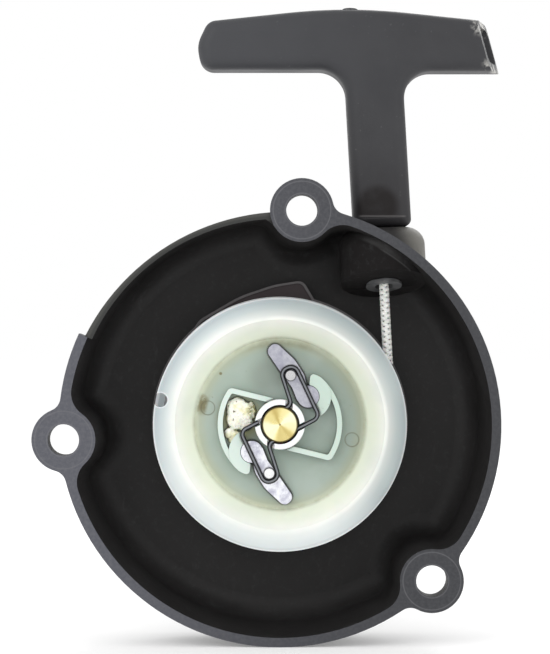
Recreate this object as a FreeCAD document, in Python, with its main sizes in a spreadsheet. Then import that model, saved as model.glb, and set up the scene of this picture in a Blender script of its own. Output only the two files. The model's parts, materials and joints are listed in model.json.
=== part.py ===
import FreeCAD, Part
import math
import os
import Sketcher
from FreeCAD import Placement, Rotation, Vector

# Recoil starter for a small engine, in millimetres.
# Frame: +X right, +Z towards the pull handle, the reel turns about Y. The mounting face is the plane
# y = 0, the housing opens towards -Y and its closed back is at +Y. Angles are counter-clockwise from
# +X as seen from the open side.

SIZES = {
    # housing
    "rim_radius": 77.5,
    "rim_depth": 8.0,
    "cavity_radius": 74.2,
    "cavity_depth": 34.0,
    "cavity_draft": 4.0,
    "floor_round": 8.0,
    "bowl_front_radius": 76.7,
    "bowl_back_radius": 74.4,
    "back_depth": 37.2,
    "back_round": 9.0,
    "back_step_radius": 48.0,
    "back_step_depth": 38.6,
    "back_boss_radius": 16.0,
    "back_boss_depth": 40.0,
    "recess_rim_radius": 74.4,
    "recess_cavity_radius": 72.6,
    "recess_face_depth": 1.2,
    "recess_first_angle": 86.0,
    "recess_span": 69.3,
    "recess_flatness": 5.0,
    # mounting ears
    "ear_circle_radius": 76.0,
    "ear_radius": 11.2,
    "ear_hole_radius": 5.5,
    "ear_blend": 5.0,
    "bulge_blend": 9.0,
    "nut_pocket_radius": 8.4,
    # spring case moulded on the housing floor
    "case_outer_radius": 46.4,
    "case_inner_radius": 44.0,
    "case_front_depth": 25.4,
    "tail_lip_height": 0.6,
    "post_seat_radius": 10.4,
    "post_seat_depth": 32.8,
    # rope outlet
    "pull_tilt": 3.0,
    "pull_offset": 39.9,
    "pull_depth": 18.4,
    "outlet_radius": 15.4,
    "outlet_low": 34.0,
    "outlet_high": 68.0,
    "outlet_round": 6.5,
    "outlet_bore_radius": 3.4,
    "seat_half_width": 11.5,
    "seat_margin": 1.2,
    "guide_tilt": 17.0,
    "guide_height": 48.4,
    "guide_flange_radius": 6.4,
    "guide_flange_thickness": 1.3,
    "guide_tube_radius": 4.6,
    "guide_bore_radius": 3.3,
    "guide_tube_length": 2.6,
    # post
    "post_radius": 6.4,
    "post_front_depth": 9.8,
    "post_back_depth": 36.4,
    "post_chamfer": 0.5,
    "groove_radius": 5.2,
    "groove_front_depth": 10.9,
    "groove_back_depth": 12.5,
    "washer_thickness": 0.7,
    "washer_outer_radius": 9.6,
    "washer_inner_radius": 6.5,
    # reel
    "reel_bore_radius": 6.48,
    "hub_radius": 8.9,
    "hub_front_depth": 13.1,
    "reel_floor_depth": 16.0,
    "reel_floor_radius": 30.5,
    "bowl_mouth_radius": 37.3,
    "bowl_mouth_depth": 9.2,
    "flange_radius": 45.0,
    "flange_front_depth": 8.5,
    "flange_edge_depth": 10.2,
    "drum_radius": 34.3,
    "groove_near_depth": 14.4,
    "groove_far_depth": 22.4,
    "rear_flange_radius": 45.6,
    "reel_rear_depth": 24.2,
    "rear_cup_radius": 32.2,
    "web_rear_depth": 18.4,
    "rear_hub_radius": 11.0,
    "rear_hub_depth": 32.0,
    "notch_radius": 2.5,
    "notch_circle_radius": 43.3,
    "notch_angle": 168.3,
    "rib_front_depth": 13.2,
    "rib_outer_radius": 22.2,
    "rib_thickness": 1.8,
    "seat_front_depth": 12.95,
    "seat_outer_radius": 8.2,
    "seat_inner_radius": 4.1,
    "mark_radius": 2.5,
    "mark_sink": 0.25,
    "mark_across": 25.8,
    "mark_down": 5.7,
    # pawls
    "pivot_across": 10.05,
    "pivot_up": 9.86,
    "pawl_heel_radius": 3.9,
    "pawl_front_depth": 12.9,
    "pawl_thickness": 3.0,
    "pin_across": 3.8,
    "pin_up": 17.4,
    "pin_radius": 1.75,
    "pin_front_depth": 10.6,
    "pin_length": 4.3,
    # friction spring and its collar
    "wire_radius": 0.78,
    "wire_depth": 11.7,
    "wrap_radius": 6.0,
    "collar_inner_radius": 7.0,
    "collar_front_depth": 10.3,
    "collar_back_depth": 13.05,
    # recoil spring
    "strip_thickness": 0.5,
    "strip_width": 7.6,
    "strip_front_depth": 25.2,
    "strip_first_radius": 11.4,
    "strip_pitch": 3.4,
    "strip_half_turns": 18,
    # rope
    "rope_radius": 2.0,
    "winding_outer_radius": 42.3,
    "winding_gap": 0.2,
    "lead_start": 19.6,
    "lead_end": 48.0,
    "run_end": 94.0,
    "bore_high": 69.0,
    "inner_knot_radius": 2.8,
    "inner_knot_circle_radius": 28.0,
    "inner_knot_angle": 232.0,
    "inner_knot_depth": 21.3,
    "inner_tail_radius": 1.9,
    # handle
    "grip_thickness": 17.0,
    "grip_round": 4.6,
    "grip_bore_radius": 2.6,
    "crease_slope": 7.0,
    "stem_groove_up": 71.2,
    "stem_groove_height": 0.55,
    "stem_groove_sink": 0.3,
    "hollow_thickness": 11.0,
    "hollow_round": 2.4,
    "bore_low": 60.0,
    "bore_end": 132.0,
    "knot_seat": 128.95,
    "knot_washer_radius": 3.9,
    "knot_washer_thickness": 1.0,
    "knot_washer_bore": 2.1,
    "knot_radius": 3.7,
}

EAR_ANGLES = (84.2, 183.7, 314.4)

doc = FreeCAD.newDocument("RecoilStarter")
sheet = doc.addObject("Spreadsheet::Sheet", "Sizes")
for row, (alias, number) in enumerate(SIZES.items(), start=1):
    sheet.set(f"A{row}", alias)
    sheet.set(f"B{row}", str(number))
    sheet.setAlias(f"B{row}", alias)
doc.recompute()

nodes = []


def size(alias):
    """The value of one cell of the sheet."""
    return float(sheet.get(alias))


def cells(text):
    """An expression in which every alias of the sheet is written with its sheet's name."""
    words = []
    for word in text.replace("(", "( ").replace(")", " )").split():
        words.append(f"Sizes.{word}" if word in SIZES else word)
    return " ".join(words)


def polar(radius, angle):
    """A point of the X-Z plane, at an angle seen from the open side."""
    turn = math.radians(angle)
    return radius * math.cos(turn), radius * math.sin(turn)


def turned(points):
    """Half a turn about the reel's axis, for points of the X-Z plane with or without a radius."""
    return [(-point[0], -point[1], *point[2:]) for point in points]


ALONG_Y = Rotation(Vector(1, 0, 0), -90)
PULL_TURN = Rotation(Vector(0, 1, 0), -size("pull_tilt"))
PULL_FOOT = Vector(size("pull_offset") * math.cos(math.radians(size("pull_tilt"))),
                   size("pull_depth"),
                   size("pull_offset") * math.sin(math.radians(size("pull_tilt"))))
PULL = Placement(PULL_FOOT, PULL_TURN)


# ---------------------------------------------------------------- building blocks

def place(thing, across="0", depth="0", up="0"):
    """Bind an object's position to cells of the sheet."""
    thing.setExpression("Placement.Base.x", cells(across))
    thing.setExpression("Placement.Base.y", cells(depth))
    thing.setExpression("Placement.Base.z", cells(up))
    return thing


def rod(name, radius, length, across="0", depth="0", up="0"):
    """A cylinder along +Y."""
    thing = doc.addObject("Part::Cylinder", name)
    thing.setExpression("Radius", cells(radius))
    thing.setExpression("Height", cells(length))
    thing.Placement = Placement(Vector(), ALONG_Y)
    return place(thing, across, depth, up)


def sector(name, radius, length, first_angle, span, across="0", depth="0", up="0"):
    """A slice of a cylinder along +Y, from first_angle on, counter-clockwise."""
    thing = rod(name, radius, length, across, depth, up)
    thing.Angle = span
    thing.Placement = Placement(Vector(), ALONG_Y * Rotation(Vector(0, 0, 1), -(first_angle + span)))
    return place(thing, across, depth, up)


def pull_rod(name, radius, low, high):
    """A cylinder along the pull line, between two cells measured from the line's foot."""
    thing = doc.addObject("Part::Cylinder", name)
    thing.setExpression("Radius", cells(radius))
    thing.setExpression("Height", cells(f"{high} - {low}"))
    thing.Placement = PULL * Placement(Vector(0, 0, size(low)), Rotation())
    return thing


def block(name, length, width, height, placement):
    """A box with its lowest corner at the placement."""
    thing = doc.addObject("Part::Box", name)
    thing.Length = length
    thing.Width = width
    thing.Height = height
    thing.Placement = placement
    return thing


def join(name, *things):
    """One solid from several."""
    thing = doc.addObject("Part::MultiFuse", name)
    thing.Shapes = list(things)
    thing.Refine = True
    return thing


def carve(name, base, *tools):
    """A solid with one or more solids cut out of it."""
    thing = doc.addObject("Part::Cut", name)
    thing.Base = base
    thing.Tool = tools[0] if len(tools) == 1 else join(f"{name}Tools", *tools)
    thing.Refine = True
    return thing


def overlap(name, first, second):
    """What two solids have in common."""
    thing = doc.addObject("Part::Common", name)
    thing.Base = first
    thing.Tool = second
    return thing


def node(thing, label):
    """Name a finished sub-part and keep it for the export."""
    thing.Label = label
    nodes.append(thing)
    return thing


def sketch_in(body, role, name):
    """A sketch on one of the body's own origin planes."""
    sketch = body.newObject("Sketcher::SketchObject", name)
    plane = [item for item in body.Origin.OriginFeatures if item.Role == role][0]
    sketch.AttachmentSupport = [(plane, "")]
    sketch.MapMode = "FlatFace"
    return sketch


def lock_point(sketch, curve, label, across, up):
    """Hold the first point of a curve at a place given by two expressions."""
    for kind, text in (("DistanceX", across), ("DistanceY", up)):
        index = sketch.addConstraint(Sketcher.Constraint(kind, -1, 1, curve, 1, 1.0))
        sketch.renameConstraint(index, f"{label}{kind[-1]}")
        sketch.setExpression(f"Constraints.{label}{kind[-1]}", cells(text))


def profile(body, role, name, points):
    """A closed polygon whose corners are held by expressions."""
    sketch = sketch_in(body, role, name)
    count = len(points)
    places = [Vector(*polar(10, 360 * index / count), 0) for index in range(count)]
    for index in range(count):
        sketch.addGeometry(Part.LineSegment(places[index], places[(index + 1) % count]))
    for index in range(count):
        sketch.addConstraint(Sketcher.Constraint("Coincident", index, 2, (index + 1) % count, 1))
    for index, (across, up) in enumerate(points):
        lock_point(sketch, index, f"p{index}", across, up)
    return sketch


def turned_body(name, points):
    """A body turned about the reel's axis from a profile of (radius, depth) corners."""
    body = doc.addObject("PartDesign::Body", name)
    sketch = profile(body, "XY_Plane", f"{name}Profile", points)
    turn = body.newObject("PartDesign::Revolution", f"{name}Turn")
    turn.Profile = sketch
    turn.ReferenceAxis = (sketch, ["V_Axis"])
    turn.Angle = 360
    return body


def rounded(corners, closed=True):
    """Lines and tangent arcs through corners given as (across, up, radius)."""
    count = len(corners)
    places = [Vector(corner[0], corner[1], 0) for corner in corners]
    joints = []
    for index, corner in enumerate(corners):
        ends = not closed and index in (0, count - 1)
        radius = 0 if ends or len(corner) < 3 else corner[2]
        here = places[index]
        if radius == 0:
            joints.append((here, None, here))
            continue
        back = (places[index - 1] - here).normalize()
        ahead = (places[(index + 1) % count] - here).normalize()
        half = back.getAngle(ahead) / 2
        reach = radius / math.tan(half)
        middle = here + (back + ahead).normalize() * (radius / math.sin(half) - radius)
        joints.append((here + back * reach, middle, here + ahead * reach))
    curves = []
    for index, (start, middle, end) in enumerate(joints):
        if middle is not None:
            curves.append(Part.Arc(start, middle, end))
        if closed or index < count - 1:
            following = joints[(index + 1) % count][0]
            if end.distanceToPoint(following) > 1e-6:
                curves.append(Part.LineSegment(end, following))
    return curves


def outline(body, role, name, curves):
    """A sketch of lines and arcs that keep their places."""
    sketch = sketch_in(body, role, name)
    for index, curve in enumerate(curves):
        sketch.addGeometry(curve)
        sketch.addConstraint(Sketcher.Constraint("Block", index))
    return sketch


def padded_body(name, curves, length, draft=None):
    """A body of one outline in the X-Z plane, padded towards +Y."""
    body = doc.addObject("PartDesign::Body", name)
    sketch = outline(body, "XZ_Plane", f"{name}Outline", curves)
    pad = body.newObject("PartDesign::Pad", f"{name}Pad")
    pad.Profile = sketch
    pad.setExpression("Length", cells(length))
    pad.Reversed = True
    if draft:
        pad.setExpression("TaperAngle", cells(draft))
    doc.recompute()
    return body


def round_edges(body, name, radius, wanted):
    """Fillet the edges of a body's last feature whose middle passes a test."""
    doc.recompute()
    base = body.Tip
    names = []
    for index, edge in enumerate(base.Shape.Edges, start=1):
        middle = edge.valueAt((edge.FirstParameter + edge.LastParameter) / 2)
        if wanted(edge, middle):
            names.append(f"Edge{index}")
    fillet = body.newObject("PartDesign::Fillet", name)
    fillet.Base = (base, names)
    fillet.setExpression("Radius", cells(radius))
    doc.recompute()
    return body


# ---------------------------------------------------------------- housing

def scalloped(radius, blend, inward):
    """A circle with the three ears: bulging out of it, or into it when inward."""
    reach = radius - blend if inward else radius + blend
    ear = size("ear_radius")
    centre_circle = size("ear_circle_radius")
    spread = math.acos((centre_circle ** 2 + reach ** 2 - (ear + blend) ** 2)
                       / (2 * centre_circle * reach))
    curves = []
    count = len(EAR_ANGLES)
    for index, angle in enumerate(EAR_ANGLES):
        ear_angle = math.radians(angle)
        centre = Vector(centre_circle * math.cos(ear_angle), centre_circle * math.sin(ear_angle), 0)
        sides = []
        for side in (-1, 1):
            turn = ear_angle + side * spread
            heart = Vector(reach * math.cos(turn), reach * math.sin(turn), 0)
            on_rim = Vector(radius * math.cos(turn), radius * math.sin(turn), 0)
            on_ear = centre + (heart - centre).normalize() * ear
            inner = ((on_rim - heart).normalize() + (on_ear - heart).normalize()).normalize()
            sides.append((on_rim, heart + inner * blend, on_ear))
        crown = ear if not inward else -ear
        top = centre + Vector(math.cos(ear_angle), math.sin(ear_angle), 0) * crown
        curves.append(Part.Arc(*sides[0]))
        curves.append(Part.Arc(sides[0][2], top, sides[1][2]))
        curves.append(Part.Arc(sides[1][2], sides[1][1], sides[1][0]))
        next_angle = math.radians(EAR_ANGLES[(index + 1) % count]) - spread
        if next_angle < ear_angle:
            next_angle += 2 * math.pi
        middle = (ear_angle + spread + next_angle) / 2
        halfway = Vector(radius * math.cos(middle), radius * math.sin(middle), 0)
        end = Vector(radius * math.cos(next_angle), radius * math.sin(next_angle), 0)
        curves.append(Part.Arc(sides[1][0], halfway, end))
    return curves


def ring_sector(name, outer, inner, length, depth):
    """A band between two radii over the recessed stretch of the rim."""
    stretch = (size("recess_first_angle"), size("recess_span"))
    wide = sector(f"{name}Wide", outer, length, *stretch, depth=depth)
    core = sector(f"{name}Core", inner, length, *stretch, depth=depth)
    return carve(name, wide, core)


def bowl_outside():
    """The outside of the housing: a drafted bowl with a round back corner and a stepped back."""
    body = turned_body("BowlOutside", [
        ("0", "1"),
        ("bowl_front_radius", "1"),
        ("bowl_back_radius", "back_depth"),
        ("back_step_radius + 3", "back_depth"),
        ("back_step_radius", "back_step_depth"),
        ("back_boss_radius + 2", "back_step_depth"),
        ("back_boss_radius", "back_boss_depth"),
        ("0", "back_boss_depth"),
    ])
    corner = size("bowl_back_radius")

    def back_corner(edge, middle):
        radius = math.hypot(middle.x, middle.z)
        return abs(radius - corner) < 0.1 and abs(middle.y - size("back_depth")) < 0.1

    return round_edges(body, "BackRound", "back_round", back_corner)


def cavity():
    """The space inside the housing, drafted, with the three ear bulges and a round floor corner."""
    curves = scalloped(size("cavity_radius"), size("bulge_blend"), True)
    body = padded_body("Cavity", curves, "cavity_depth", "0 - cavity_draft")

    def floor_corner(edge, middle):
        return abs(edge.BoundBox.YMin - size("cavity_depth")) < 0.01

    return round_edges(body, "FloorRound", "floor_round", floor_corner)


TAIL_OUTSIDE = [(-32.0, 33.0), (-29.1, 37.3, 6), (-14.6, 45.8, 40), (-1.9, 50.0, 30),
                (8.4, 51.6, 3.5), (12.6, 44.4, 1), (10.0, 40.0)]
TAIL_INSIDE = [(-31.2, 32.4), (-28.5, 36.6, 6), (-14.3, 45.0, 40), (-1.8, 49.2, 30),
               (7.8, 50.7, 2.8), (11.7, 44.3, 1), (9.2, 40.0)]


def spring_case():
    """The wall round the recoil spring, with the tail over the spring's outer hook and the tail's lip."""
    length = "cavity_depth + 1 - case_front_depth"
    tail = padded_body("CaseTail", rounded(TAIL_OUTSIDE), length)
    place(tail, depth="case_front_depth")
    tail_face = padded_body("CaseTailFace", rounded(TAIL_INSIDE), "tail_lip_height + 1")
    place(tail_face, depth="case_front_depth - 1")
    wall = rod("CaseWall", "case_outer_radius", length, depth="case_front_depth")
    space = rod("CaseSpace", "case_inner_radius", length, depth="case_front_depth - 1")
    return carve("SpringCase", join("CaseSolid", wall, tail), space, tail_face)


def outlet():
    """The round boss that the rope leaves by, cut off below by the tilted guide face."""
    boss = pull_rod("OutletRod", "outlet_radius", "outlet_low", "outlet_high")
    crown = doc.addObject("Part::Fillet", "OutletCrown")
    crown.Base = boss
    doc.recompute()
    top = [index for index, edge in enumerate(boss.Shape.Edges, start=1)
           if edge.Closed and edge.BoundBox.ZMin > PULL_FOOT.z + size("outlet_low") + 10]
    crown.Edges = [(top[0], size("outlet_round"), size("outlet_round"))]
    guide = guide_placement()
    below = block("BelowGuideFace", 60, 60, 40, guide * Placement(Vector(-30, -30, -40), Rotation()))
    return carve("Outlet", crown, below)


def guide_placement():
    """Where the rope guide sits: its flange on the outlet's face, its axis leaning to the open side."""
    lean = Rotation(Vector(1, 0, 0), -size("guide_tilt"))
    return PULL * Placement(Vector(0, 0, size("guide_height")), lean)


def guide_rod(name, radius, low, high):
    """A cylinder along the rope guide's axis."""
    thing = doc.addObject("Part::Cylinder", name)
    thing.setExpression("Radius", cells(radius))
    thing.Height = high - low
    thing.Placement = guide_placement() * Placement(Vector(0, 0, low), Rotation())
    return thing


def ear_rods(name, radius, length, depth):
    """One cylinder along Y at each ear."""
    rods = []
    for index, angle in enumerate(EAR_ANGLES):
        across, up = polar(1, angle)
        rods.append(rod(f"{name}{index}", radius, length, across=f"ear_circle_radius * ( {across} )",
                        depth=depth, up=f"ear_circle_radius * ( {up} )"))
    return rods


def recess_cut():
    """What the recessed stretch of the rim loses, outside and in front, beside the first ear."""
    stretch = (size("recess_first_angle"), size("recess_span"))
    wide = sector("RecessWide", "rim_radius + 15", "back_boss_depth + 2", *stretch, depth="-1")
    across, up = polar(1, stretch[0] + stretch[1] / 2)
    kept = rod("RecessKept", "recess_rim_radius + recess_flatness", "back_boss_depth + 4",
               across=f"recess_flatness * ( {-across} )", depth="-2", up=f"recess_flatness * ( {-up} )")
    outside = carve("RecessOutside", wide, kept)
    front = ring_sector("RecessFront", "rim_radius + 15", "recess_cavity_radius - 2",
                        "recess_face_depth + 1", "-1")
    across, up = polar(1, EAR_ANGLES[0])
    kept_ear = rod("KeptEar", "ear_radius", "rim_depth + 1", across=f"ear_circle_radius * ( {across} )",
                   depth="-1", up=f"ear_circle_radius * ( {up} )")
    return carve("RecessCut", join("RecessAll", outside, front), kept_ear)


def handle_seat():
    """The flat that the handle's stem rests on, cut across the outlet and the bowl behind the rim."""
    half_width = size("seat_half_width")
    half_depth = size("grip_thickness") / 2 + size("seat_margin")
    corner = Placement(Vector(-half_width, -half_depth, size("outlet_high")), Rotation())
    return block("HandleSeat", 2 * half_width, 2 * half_depth, 12, PULL * corner)


def make_housing():
    """The moulded housing, with its ears, rope outlet, spring case and post seat."""
    rim = padded_body("Rim", scalloped(size("rim_radius"), size("ear_blend"), False), "rim_depth")
    rope_outlet = outlet()
    solid = join("HousingSolid", rim, bowl_outside(), rope_outlet)
    shell = carve("HousingShell", solid, carve("HousingSpace", cavity(), rope_outlet))
    recess_wall = ring_sector("RecessWall", "recess_rim_radius", "recess_cavity_radius",
                              "cavity_depth - 1", "recess_face_depth")
    post_seat = rod("PostSeat", "post_seat_radius", "cavity_depth + 1 - post_seat_depth",
                    depth="post_seat_depth")
    filled = join("HousingFilled", shell, recess_wall, spring_case(), post_seat)
    cuts = [
        *ear_rods("EarHole", "ear_hole_radius", "rim_depth + 2", "-1"),
        *ear_rods("NutPocket", "nut_pocket_radius", "back_boss_depth", "rim_depth"),
        recess_cut(),
        handle_seat(),
        pull_rod("OutletBore", "outlet_bore_radius", "outlet_low", "bore_high"),
        guide_rod("GuideBore", "guide_tube_radius", -2, size("guide_tube_length")),
        rod("PostHole", "post_radius", "post_back_depth", depth="0"),
    ]
    return node(carve("Housing", filled, *cuts), "housing")


def make_rope_guide():
    """The flanged eyelet that the rope runs through, pressed into the outlet."""
    flange = guide_rod("GuideFlange", "guide_flange_radius", -size("guide_flange_thickness"), 0)
    lip = doc.addObject("Part::Fillet", "GuideLip")
    lip.Base = flange
    lip.Edges = [(1, 0.5, 0.5), (3, 0.5, 0.5)]
    tube = guide_rod("GuideTube", "guide_tube_radius", -size("guide_flange_thickness") / 2,
                     size("guide_tube_length"))
    bore = guide_rod("GuideBoreCut", "guide_bore_radius", -3, size("guide_tube_length") + 1)
    return node(carve("RopeGuide", join("GuideSolid", lip, tube), bore), "rope_guide")


# ---------------------------------------------------------------- post and spring

def make_post():
    """The brass post that the reel turns on, with a groove for the friction spring."""
    body = turned_body("Post", [
        ("0", "post_front_depth"),
        ("post_radius - post_chamfer", "post_front_depth"),
        ("post_radius", "post_front_depth + post_chamfer"),
        ("post_radius", "groove_front_depth"),
        ("groove_radius", "groove_front_depth"),
        ("groove_radius", "groove_back_depth"),
        ("post_radius", "groove_back_depth"),
        ("post_radius", "post_back_depth"),
        ("0", "post_back_depth"),
    ])
    return node(body, "reel_post")


def make_thrust_washer():
    """The steel washer between the reel's hub and its seat in the housing."""
    disc = rod("WasherDisc", "washer_outer_radius", "washer_thickness", depth="rear_hub_depth + 0.05")
    hole = rod("WasherHole", "washer_inner_radius", "washer_thickness + 2", depth="rear_hub_depth - 1")
    return node(carve("ThrustWasher", disc, hole), "thrust_washer")


def half_turns(radius, step, count, shift):
    """A spiral of half circles whose centres alternate, and the points where they meet."""
    curves = []
    for index in range(count):
        side = 1 if index % 2 == 0 else -1
        centre = Vector(0 if side == 1 else shift, 0, 0)
        reach = radius + step * index
        start = centre + Vector(side * reach, 0, 0)
        top = centre + Vector(0, side * reach, 0)
        end = centre - Vector(side * reach, 0, 0)
        curves.append((start, top, end))
    return curves


def make_recoil_spring():
    """The flat spiral spring, from the reel's rear hub out to the tail of the spring case."""
    step = size("strip_pitch") / 2
    count = int(size("strip_half_turns"))
    near = half_turns(size("strip_first_radius"), step, count, step)
    far = half_turns(size("strip_first_radius") + size("strip_thickness"), step, count, step)
    curves = [Part.Arc(*points) for points in near]
    curves.append(Part.LineSegment(near[-1][2], far[-1][2]))
    curves += [Part.Arc(*reversed(points)) for points in reversed(far)]
    curves.append(Part.LineSegment(far[0][0], near[0][0]))
    body = padded_body("RecoilSpring", curves, "strip_width")
    place(body, depth="strip_front_depth")
    return node(body, "recoil_spring")


# ---------------------------------------------------------------- reel

def reel_turned():
    """The turned form of the reel: dished front, rope groove, web and hub."""
    return turned_body("ReelForm", [
        ("reel_bore_radius", "hub_front_depth"),
        ("hub_radius", "hub_front_depth"),
        ("hub_radius", "reel_floor_depth"),
        ("reel_floor_radius", "reel_floor_depth"),
        ("bowl_mouth_radius", "bowl_mouth_depth"),
        ("flange_radius - 1.2", "flange_front_depth"),
        ("flange_radius", "flange_front_depth + 0.3"),
        ("flange_radius", "flange_edge_depth"),
        ("drum_radius", "groove_near_depth"),
        ("drum_radius", "groove_far_depth"),
        ("rear_flange_radius", "groove_far_depth"),
        ("rear_flange_radius", "reel_rear_depth"),
        ("rear_cup_radius", "reel_rear_depth"),
        ("rear_cup_radius", "web_rear_depth"),
        ("rear_hub_radius", "web_rear_depth"),
        ("rear_hub_radius", "rear_hub_depth"),
        ("reel_bore_radius", "rear_hub_depth"),
    ])


RIB_CORNER = Vector(18.2, -12.2, 0)
RIB_FOOT = Vector(3.6, -8.6, 0)
FAN_FIRST_ANGLE = -75
FAN_LAST_ANGLE = 49
SEAT_FIRST_ANGLE = -65
SEAT_LAST_ANGLE = 84
FAN_ROUNDS = [(18.6, -13.0, 2.0), (17.2, -10.9, 0.9), (10.9, 18.0, 1.2), (10.5, 13.9, 0.6),
              (13.5, 2.4, 1.2)]


def rib_side(name, offset, turn):
    """Everything on the fan's side of its straight rib, from one face of the rib on."""
    along = (RIB_CORNER - RIB_FOOT).normalize()
    inwards = Vector(-along.y, along.x, 0)
    foot = RIB_FOOT + inwards * offset
    slope = Rotation(Vector(1, 0, 0), Vector(along.x, 0, along.y))
    start = Placement(Vector(foot.x, 0, foot.y), slope) * Placement(Vector(-40, 0, 0), Rotation())
    half_turn = Placement(Vector(), Rotation(Vector(0, 1, 0), turn))
    return block(name, 80, 40, 60, half_turn * start)


def round_uprights(name, solid, rounds):
    """Round the edges along Y that lie nearest to the given places, each (across, up, radius)."""
    doc.recompute()
    uprights = {}
    for index, edge in enumerate(solid.Shape.Edges, start=1):
        box = edge.BoundBox
        if max(box.XLength, box.ZLength) < 0.01 and box.YLength > 0.5:
            uprights[index] = (box.XMin, box.ZMin)
    chosen = []
    for across, up, radius in rounds:
        nearest = min(uprights, key=lambda index: math.dist(uprights[index], (across, up)))
        chosen.append((nearest, radius, radius))
    thing = doc.addObject("Part::Fillet", name)
    thing.Base = solid
    thing.Edges = chosen
    return thing


def floor_fan(name, turn):
    """A fan-shaped pocket's rib with the pawl's seat at its end, on one half of the reel's floor."""
    rib_length = "reel_floor_depth + 0.2 - rib_front_depth"
    seat_length = "reel_floor_depth + 0.2 - seat_front_depth"
    half = size("rib_thickness") / 2
    disc = sector(f"{name}FanDisc", "rib_outer_radius", rib_length, FAN_FIRST_ANGLE + turn,
                  FAN_LAST_ANGLE - FAN_FIRST_ANGLE, depth="rib_front_depth")
    outer = overlap(f"{name}FanOuter", disc, rib_side(f"{name}RibOutside", -half, turn))
    core = rod(f"{name}FanCore", "rib_outer_radius - rib_thickness", rib_length, depth="rib_front_depth")
    inner = overlap(f"{name}FanInner", core, rib_side(f"{name}RibInside", half, turn))
    rib = carve(f"{name}FanRib", outer, inner)
    sign = "-1" if turn else "1"
    pivot = {"across": f"pivot_across * {sign}", "up": f"pivot_up * {sign}", "depth": "seat_front_depth"}
    seat = sector(f"{name}Seat", "seat_outer_radius", seat_length, SEAT_FIRST_ANGLE + turn,
                  SEAT_LAST_ANGLE - SEAT_FIRST_ANGLE, **pivot)
    socket = rod(f"{name}Socket", "seat_inner_radius", seat_length, **pivot)
    limit = rod(f"{name}SeatLimit", "rib_outer_radius", seat_length, depth="seat_front_depth")
    pawl_seat = overlap(f"{name}PawlSeat", carve(f"{name}Crescent", seat, socket), limit)
    rounds = turned(FAN_ROUNDS) if turn else FAN_ROUNDS
    return round_uprights(f"{name}Fan", join(f"{name}FanSolid", rib, pawl_seat), rounds)


def make_reel():
    """The moulded reel that the rope winds on."""
    whole = join("ReelSolid", reel_turned(), floor_fan("Upper", 0), floor_fan("Lower", 180))
    across, up = polar(1, size("notch_angle"))
    cuts = [
        rod("FlangeNotch", "notch_radius", "6", across=f"notch_circle_radius * ( {across} )",
            depth="flange_front_depth - 1", up=f"notch_circle_radius * ( {up} )"),
        rod("EjectorMarkRight", "mark_radius", "1 + mark_sink", across="mark_across",
            depth="reel_floor_depth - 1", up="0 - mark_down"),
        rod("EjectorMarkLeft", "mark_radius", "1 + mark_sink", across="0 - mark_across",
            depth="reel_floor_depth - 1", up="mark_down"),
        knot_tail("KnotHole", "inner_tail_radius + 0.3", 40),
    ]
    return node(carve("Reel", whole, *cuts), "reel")


def knot_tail(name, radius, reach):
    """A cylinder outwards through the drum wall, from the inner knot."""
    across, up = polar(size("inner_knot_circle_radius"), size("inner_knot_angle"))
    thing = doc.addObject("Part::Cylinder", name)
    thing.setExpression("Radius", cells(radius))
    thing.Height = reach - size("inner_knot_circle_radius")
    base = Vector(across, size("inner_knot_depth"), up)
    thing.Placement = Placement(base, Rotation(Vector(0, 0, 1), Vector(across, 0, up)))
    return thing


# ---------------------------------------------------------------- pawls and friction spring

PAWL_ARM = [(-5.0, 26.3, 2.3), (-1.7, 29.4, 2.3), (5.3, 22.9, 9), (8.7, 17.5, 6), (10.2, 11.0),
            (8.0, 8.0), (6.3, 8.2, 1.0), (4.4, 13.0, 4), (0.0, 19.0, 20)]


def make_pawl(label, name, lower):
    """A flat steel pawl: a round heel in the reel's seat and an arm with a round tip."""
    corners = turned(PAWL_ARM) if lower else PAWL_ARM
    sign = "-1" if lower else "1"
    arm = padded_body(f"{name}Arm", rounded(corners), "pawl_thickness")
    place(arm, depth="pawl_front_depth")
    heel = rod(f"{name}Heel", "pawl_heel_radius", "pawl_thickness", across=f"pivot_across * {sign}",
               depth="pawl_front_depth", up=f"pivot_up * {sign}")
    hole = rod(f"{name}PinHole", "pin_radius", "pawl_thickness + 2", across=f"pin_across * {sign}",
               depth="pawl_front_depth - 1", up=f"pin_up * {sign}")
    return node(carve(name, join(f"{name}Solid", arm, heel), hole), label)


def make_pawl_pin(label, name, lower):
    """The round steel pin pressed through a pawl, which the friction spring loops round."""
    sign = "-1" if lower else "1"
    pin = rod(f"{name}Rod", "pin_radius", "pin_length", across=f"pin_across * {sign}",
              depth="pin_front_depth", up=f"pin_up * {sign}")
    head = doc.addObject("Part::Fillet", name)
    head.Base = pin
    head.Edges = [(1, 0.3, 0.3), (3, 0.3, 0.3)]
    return node(head, label)


ARM_ROUTE = [(4.7, 5.26, 2.1), (0.18, 19.2, 2.65), (5.37, 21.1, 2.65), (14.1, 2.5, 2.4),
             (5.955, -1.686, 2.0)]


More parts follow.
